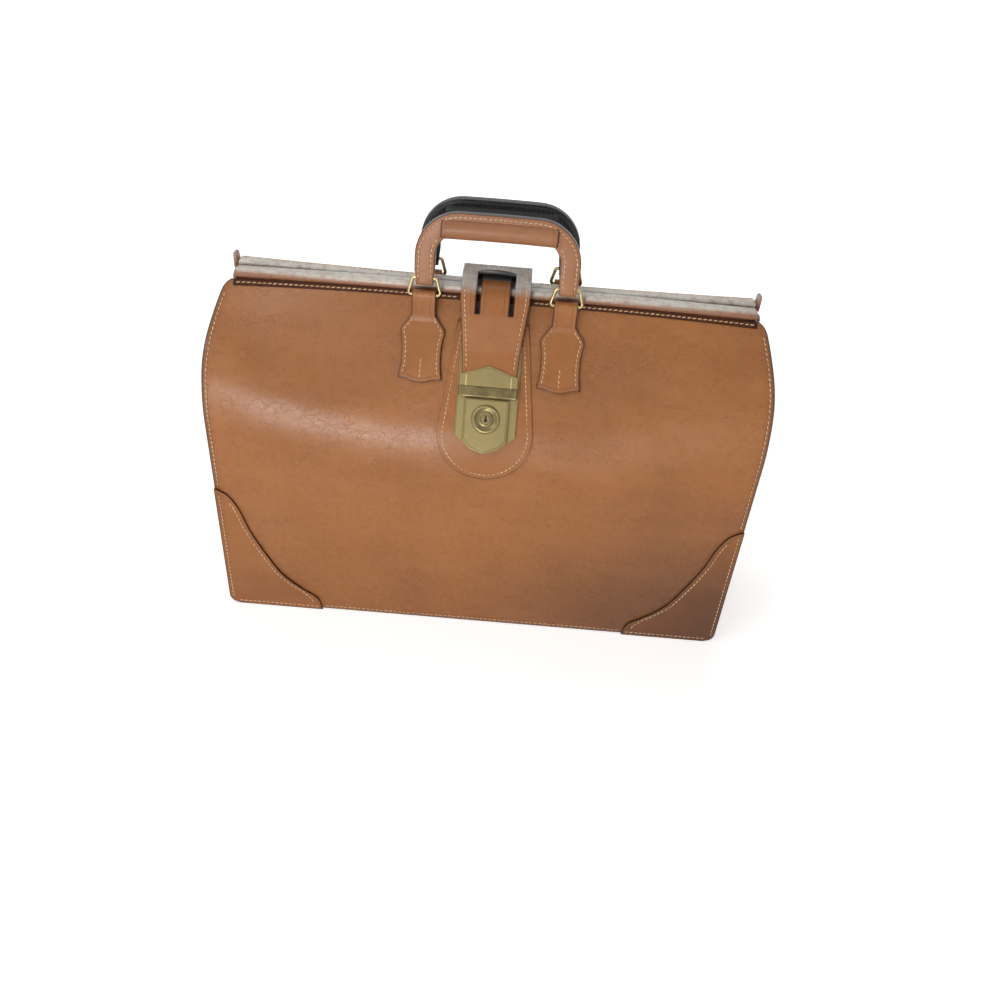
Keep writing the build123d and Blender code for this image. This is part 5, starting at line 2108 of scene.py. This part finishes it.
@dataclass
class Lock:
    """Stitched patch, backplate, pointed lock case, collar, key plug and bolt."""

    shop: Workshop
    patch_foot: float = 156.0
    patch_half: float = 37.0
    patch_top: float = 268.0
    patch_top_half: float = 27.0
    plate_low: float = 1.9
    plate_high: float = 3.1
    case_high: float = 9.3
    collar_at: float = 82.5

    def outline(self, half: float, start: float, apex: float, shoulder: float, chamfer: float) -> list[Pair]:
        """Pentagon down the slope, counter-clockwise.

        Args:
            half: Half the width.
            start: Distance to the upper edge.
            apex: Distance to the point.
            shoulder: Height of the sloping foot.
            chamfer: Size of the cut corners.

        Returns:
            The corners.
        """
        foot = shoulder - apex
        side, cut = half - chamfer, foot - chamfer
        lower = [(-half, foot), (-side, cut), (0, -apex), (side, cut), (half, foot)]
        return [*lower, (half, -start), (-half, -start)]

    def patch_half_at(self, z: float) -> float:
        """Half the patch's width above its rounded foot.

        Args:
            z: Height.

        Returns:
            Half the width.
        """
        middle = self.patch_foot + self.patch_half
        climb = max(0.0, z - middle) / (self.patch_top - middle)
        return self.patch_half + (self.patch_top_half - self.patch_half) * climb

    def patch_place(self, a: float, b: float, inset: float = 0.0, height: float = 1.6) -> Vector:
        """Point of the patch, in rows that follow its rounded foot.

        Args:
            a: Share of half the width.
            b: Share of the height.
            inset: Distance in from the edge.
            height: Distance off the panel.

        Returns:
            The point.
        """
        half = self.patch_half - inset
        x = half * math.sin(a * math.pi / 2)
        middle = self.patch_foot + self.patch_half
        foot = middle - math.sqrt(max(0.0, half**2 - x**2))
        z = foot + (self.patch_top - foot) * b
        x *= (self.patch_half_at(z) - inset) / half
        return SKIN.point(x, z, height)

    def build(self) -> None:
        """Makes the patch and the metal of the lock."""
        heights = [*steps(0, 0.1, 5), *steps(0.13, 1, 26)]
        sheet = Sheet(steps(-1, 1, 30), heights, self.patch_place, 1.5, rounding=0.4)
        piece = sheet.build(self.shop.leather(self.shop.trim, inked=True), None, "lock_patch_leather")
        # Painted shade on the patch where the strap lies over it.
        mark(piece, "soil", lambda co: float(abs(co.x) < 16.0 and co.z > 250.0))
        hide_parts("lock_patch")
        foot = [self.patch_place(a, 0.0, 4.0) for a in steps(-0.97, 0.97, 44)]
        left = [self.patch_place(-0.99, b, 4.0) for b in steps(0.9, 0.01, 30)]
        right = [self.patch_place(0.99, b, 4.0) for b in steps(0.01, 0.9, 30)]
        row = [(spot, SKIN.normal(spot.x, spot.z)) for spot in [*left, *foot, *right]]
        stitches = Stitching(pitch=3.6, length=2.9).lay("lock_patch_stitches", [row], self.shop.thread)
        for item in (piece, stitches):
            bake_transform(item)
        self.brass()

    def brass(self) -> None:
        """Backplate, case and collar, with the CAD's plug, bolt and tongue left in place."""
        slope = SKIN.slope_frame()
        outline = [(-23.5, -95), (-19.5, -99), (19.5, -99), (23.5, -95), (23.5, -26), (-23.5, -26)]
        wings = plate(outline, self.plate_low, self.plate_high - 0.1, 0.3)
        rails = []
        for near, far in ((-23.4, -22.6), (22.6, 23.4)):
            outline = [(near, -95), (far, -95), (far, -27), (near, -27)]
            rails.append(plate(outline, self.plate_low + 0.5, self.plate_high + 0.35, 0.2))
        back = even(finished("lock_backplate_brass", joined([wings, *rails]), [self.shop.brass], slope))
        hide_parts("lock_backplate")
        body = plate(
            self.outline(17.0, 67.2, 109.0, 9.0, 5.5), self.plate_low + 0.4, self.case_high - 0.6, 0.7, 3
        )
        face = plate(self.outline(15.6, 68.2, 107.0, 9.0, 5.2), self.case_high - 1.4, self.case_high, 0.35)
        case = even(finished("lock_case_brass", joined([body, face]), [self.shop.brass], slope))
        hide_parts("lock_case")
        collar = even(finished("lock_collar_brass", self.collar(), [self.shop.brass], slope))
        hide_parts("lock_collar")
        for piece in (back, case, collar):
            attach(piece, "front_side")
        dress(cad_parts["lock_bolt"], self.shop.bright_brass)
        plug = even(finished("key_plug_brass", self.plug(), [self.shop.brass, self.shop.hollow], slope))
        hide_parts("key_plug")
        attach(plug, "key_plug")

    def collar(self) -> BMesh:
        """Domed ring about the key plug, turned from one half section.

        Returns:
            The mesh in the slope's frame.
        """
        bm = bmesh.new()
        low = self.case_high - 0.4
        shape = [
            (3.9, low), (11.0, low), (11.0, low + 1.1), (10.3, low + 1.9), (9.2, low + 2.2), (8.2, low + 1.9)
        ]
        shape += [(7.6, low + 1.2), (5.2, low + 1.15), (4.7, low + 1.5), (4.1, low + 1.45), (3.9, low + 1.2)]
        verts = [bm.verts.new((r, 0, h)) for r, h in shape]
        edges = [bm.edges.new((verts[i], verts[(i + 1) % len(verts)])) for i in range(len(verts))]
        bmesh.ops.spin(
            bm, geom=verts + edges, cent=(0, 0, 0), axis=(0, 0, 1), angle=2 * math.pi, steps=48, use_merge=True
        )
        bmesh.ops.remove_doubles(bm, verts=bm.verts, dist=0.01)
        bmesh.ops.recalc_face_normals(bm, faces=bm.faces)
        bmesh.ops.translate(bm, vec=(0, -self.collar_at, 0), verts=bm.verts)
        return bm

    def plug(self) -> BMesh:
        """Key plug with a dark keyhole: round below, with a slot above.

        Returns:
            The mesh, with the keyhole in slot 1.
        """
        high = self.case_high + 1.0
        body = bmesh.new()
        bmesh.ops.create_cone(body, cap_ends=True, segments=36, radius1=3.7, radius2=3.7, depth=6.0)
        bmesh.ops.translate(body, vec=(0, -self.collar_at, high - 3.0), verts=body.verts)
        rim = [edge for edge in body.edges if all(vert.co.z > high - 0.1 for vert in edge.verts)]
        bmesh.ops.bevel(body, geom=rim, offset=0.35, segments=2, profile=0.5, affect="EDGES", material=-1)
        hole = bmesh.new()
        bmesh.ops.create_cone(hole, cap_ends=True, segments=20, radius1=1.3, radius2=1.3, depth=0.3)
        bmesh.ops.translate(hole, vec=(0, -self.collar_at - 1.0, high), verts=hole.verts)
        low_end, high_end = -self.collar_at - 1.0, -self.collar_at + 2.6
        slot = plate(
            [(-0.65, low_end), (0.65, low_end), (0.65, high_end), (-0.65, high_end)], high - 0.15, high + 0.15
        )
        for part in (hole, slot):
            for face in part.faces:
                face.material_index = 1
        return joined([body, hole, slot])


@dataclass
class Inside:
    """Cloth-covered boards inside the case."""

    shop: Workshop

    def build(self) -> None:
        """Dresses the boards that stiffen the walls, slopes and base."""
        walls = [f"{side.word}_{part}" for part in ("wall_board", "slope_stiffener") for side in Side]
        for name in ("base_board", *walls):
            dress(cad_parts[name], self.shop.cloth, 0.35)
            LOG.info("%s dressed in cloth", name)


def seen_or_mirrored(graph: Graph) -> NodeSocket:
    """1 for rays from the camera, off a glossy surface or through glass, and 0 for light on the case.

    Args:
        graph: The material's or the world's graph.

    Returns:
        The mask.
    """
    path = graph.add("ShaderNodeLightPath")
    straight = graph.math("MAXIMUM", path.outputs["Is Camera Ray"], path.outputs["Is Glossy Ray"])
    return graph.math("MAXIMUM", straight, path.outputs["Is Transmission Ray"])


@dataclass
class Studio:
    """Plain pale floor, soft lights and the camera at the photograph's viewing angle."""

    eye: Triple = (0.016, -0.650, 0.560)
    pitch: float = 36.0
    roll: float = 4.8
    lens: float = 32.4
    ambient: float = 0.28
    floor_half: float = 12000.0
    floor_drop: float = 0.0005
    aim: float = 0.15
    lamps: tuple[tuple[str, Triple, Pair, float], ...] = (
        ("key", (-0.6, -0.75, 1.15), (0.6, 0.5), 4.2),
        ("fill", (0.9, -0.9, 1.3), (1.2, 1.2), 1.5),
        ("window", (-0.21, -1.15, 0.24), (0.2, 0.44), 5.6),
        ("top", (-0.2, 0.7, 1.5), (1.4, 0.8), 7.0),
    )

    def build(self) -> None:
        """Sets the stage."""
        scene = bpy.context.scene
        scene.view_settings.view_transform = "Standard"
        self.camera(scene)
        self.floor()
        self.world(scene)
        for lamp in self.lamps:
            self.lamp(*lamp)

    def camera(self, scene: Scene) -> None:
        """Camera as the photograph's perspective gives it.

        Args:
            scene: The scene.
        """
        data = bpy.data.cameras.new("camera")
        data.lens = self.lens
        data.sensor_width = 36.0
        data.clip_start = 0.02
        camera = bpy.data.objects.new("camera", data)
        scene.collection.objects.link(camera)
        tilt = Matrix.Rotation(math.radians(90 - self.pitch), 4, "X")
        turn = tilt @ Matrix.Rotation(math.radians(self.roll), 4, "Z")
        camera.matrix_world = Matrix.Translation(self.eye) @ turn
        scene.camera = camera

    def floor(self) -> None:
        """Large pale floor that keeps the case's shadow."""
        bm = bmesh.new()
        bmesh.ops.create_grid(bm, x_segments=1, y_segments=1, size=self.floor_half)
        graph, shader, material = principled("pale_floor")
        soft = graph.noise(graph.place, 3.0, 2.0, 0.5)
        tone = graph.mix(graph.part(soft, 0.1), (0.93, 0.93, 0.925), (0.88, 0.88, 0.88))
        graph.join(tone, shader.inputs["Base Color"])
        shader.inputs["Roughness"].default_value = 0.8
        shader.inputs["Emission Color"].default_value = (1.0, 1.0, 1.0, 1.0)
        far = graph.add("ShaderNodeVectorMath", {0: graph.place}, operation="LENGTH").outputs["Value"]
        backdrop = graph.span(far, 0.4, 1.4, 0.52, 1.0)
        graph.join(graph.part(seen_or_mirrored(graph), backdrop), shader.inputs["Emission Strength"])
        floor = finished("floor", bm, [material])
        floor.location.z = -self.floor_drop

    def world(self, scene: Scene) -> None:
        """Even soft light, with a white background for the camera and for reflections.

        Args:
            scene: The scene.
        """
        world = bpy.data.worlds.new("studio")
        scene.world = world
        world.use_nodes = True
        graph = Graph(world.node_tree)
        background = next(node for node in world.node_tree.nodes if node.type == "BACKGROUND")
        background.inputs["Color"].default_value = (1.0, 1.0, 1.0, 1.0)
        graph.join(
            graph.total(self.ambient, (seen_or_mirrored(graph), 1.0 - self.ambient)),
            background.inputs["Strength"],
        )

    def lamp(self, name: str, place: Triple, size: Pair, power: float) -> None:
        """Soft rectangular lamp that faces the case.

        Args:
            name: Name of the lamp.
            place: Its place, in metres.
            size: Its two sides.
            power: Its power, in watts.
        """
        data = bpy.data.lights.new(name, "AREA")
        data.shape = "RECTANGLE"
        data.size, data.size_y = size
        data.energy = power
        lamp = bpy.data.objects.new(name, data)
        bpy.context.scene.collection.objects.link(lamp)
        lamp.location = place
        lamp.rotation_euler = (Vector(place) - Vector((0, 0, self.aim))).to_track_quat("Z", "Y").to_euler()


def main() -> None:
    """Builds the case in order and reports each part of it."""
    logging.basicConfig(level=logging.INFO, format="%(name)s %(message)s")
    Studio().build()
    shop = Workshop()
    for group in (Panels, Gussets, Frames, Tabs, Handles, Strap, Lock, Inside):
        group(shop).build()
        LOG.info("built %s", group.__name__)
    bpy.context.view_layer.update()


if __name__ == "__main__":
    main()
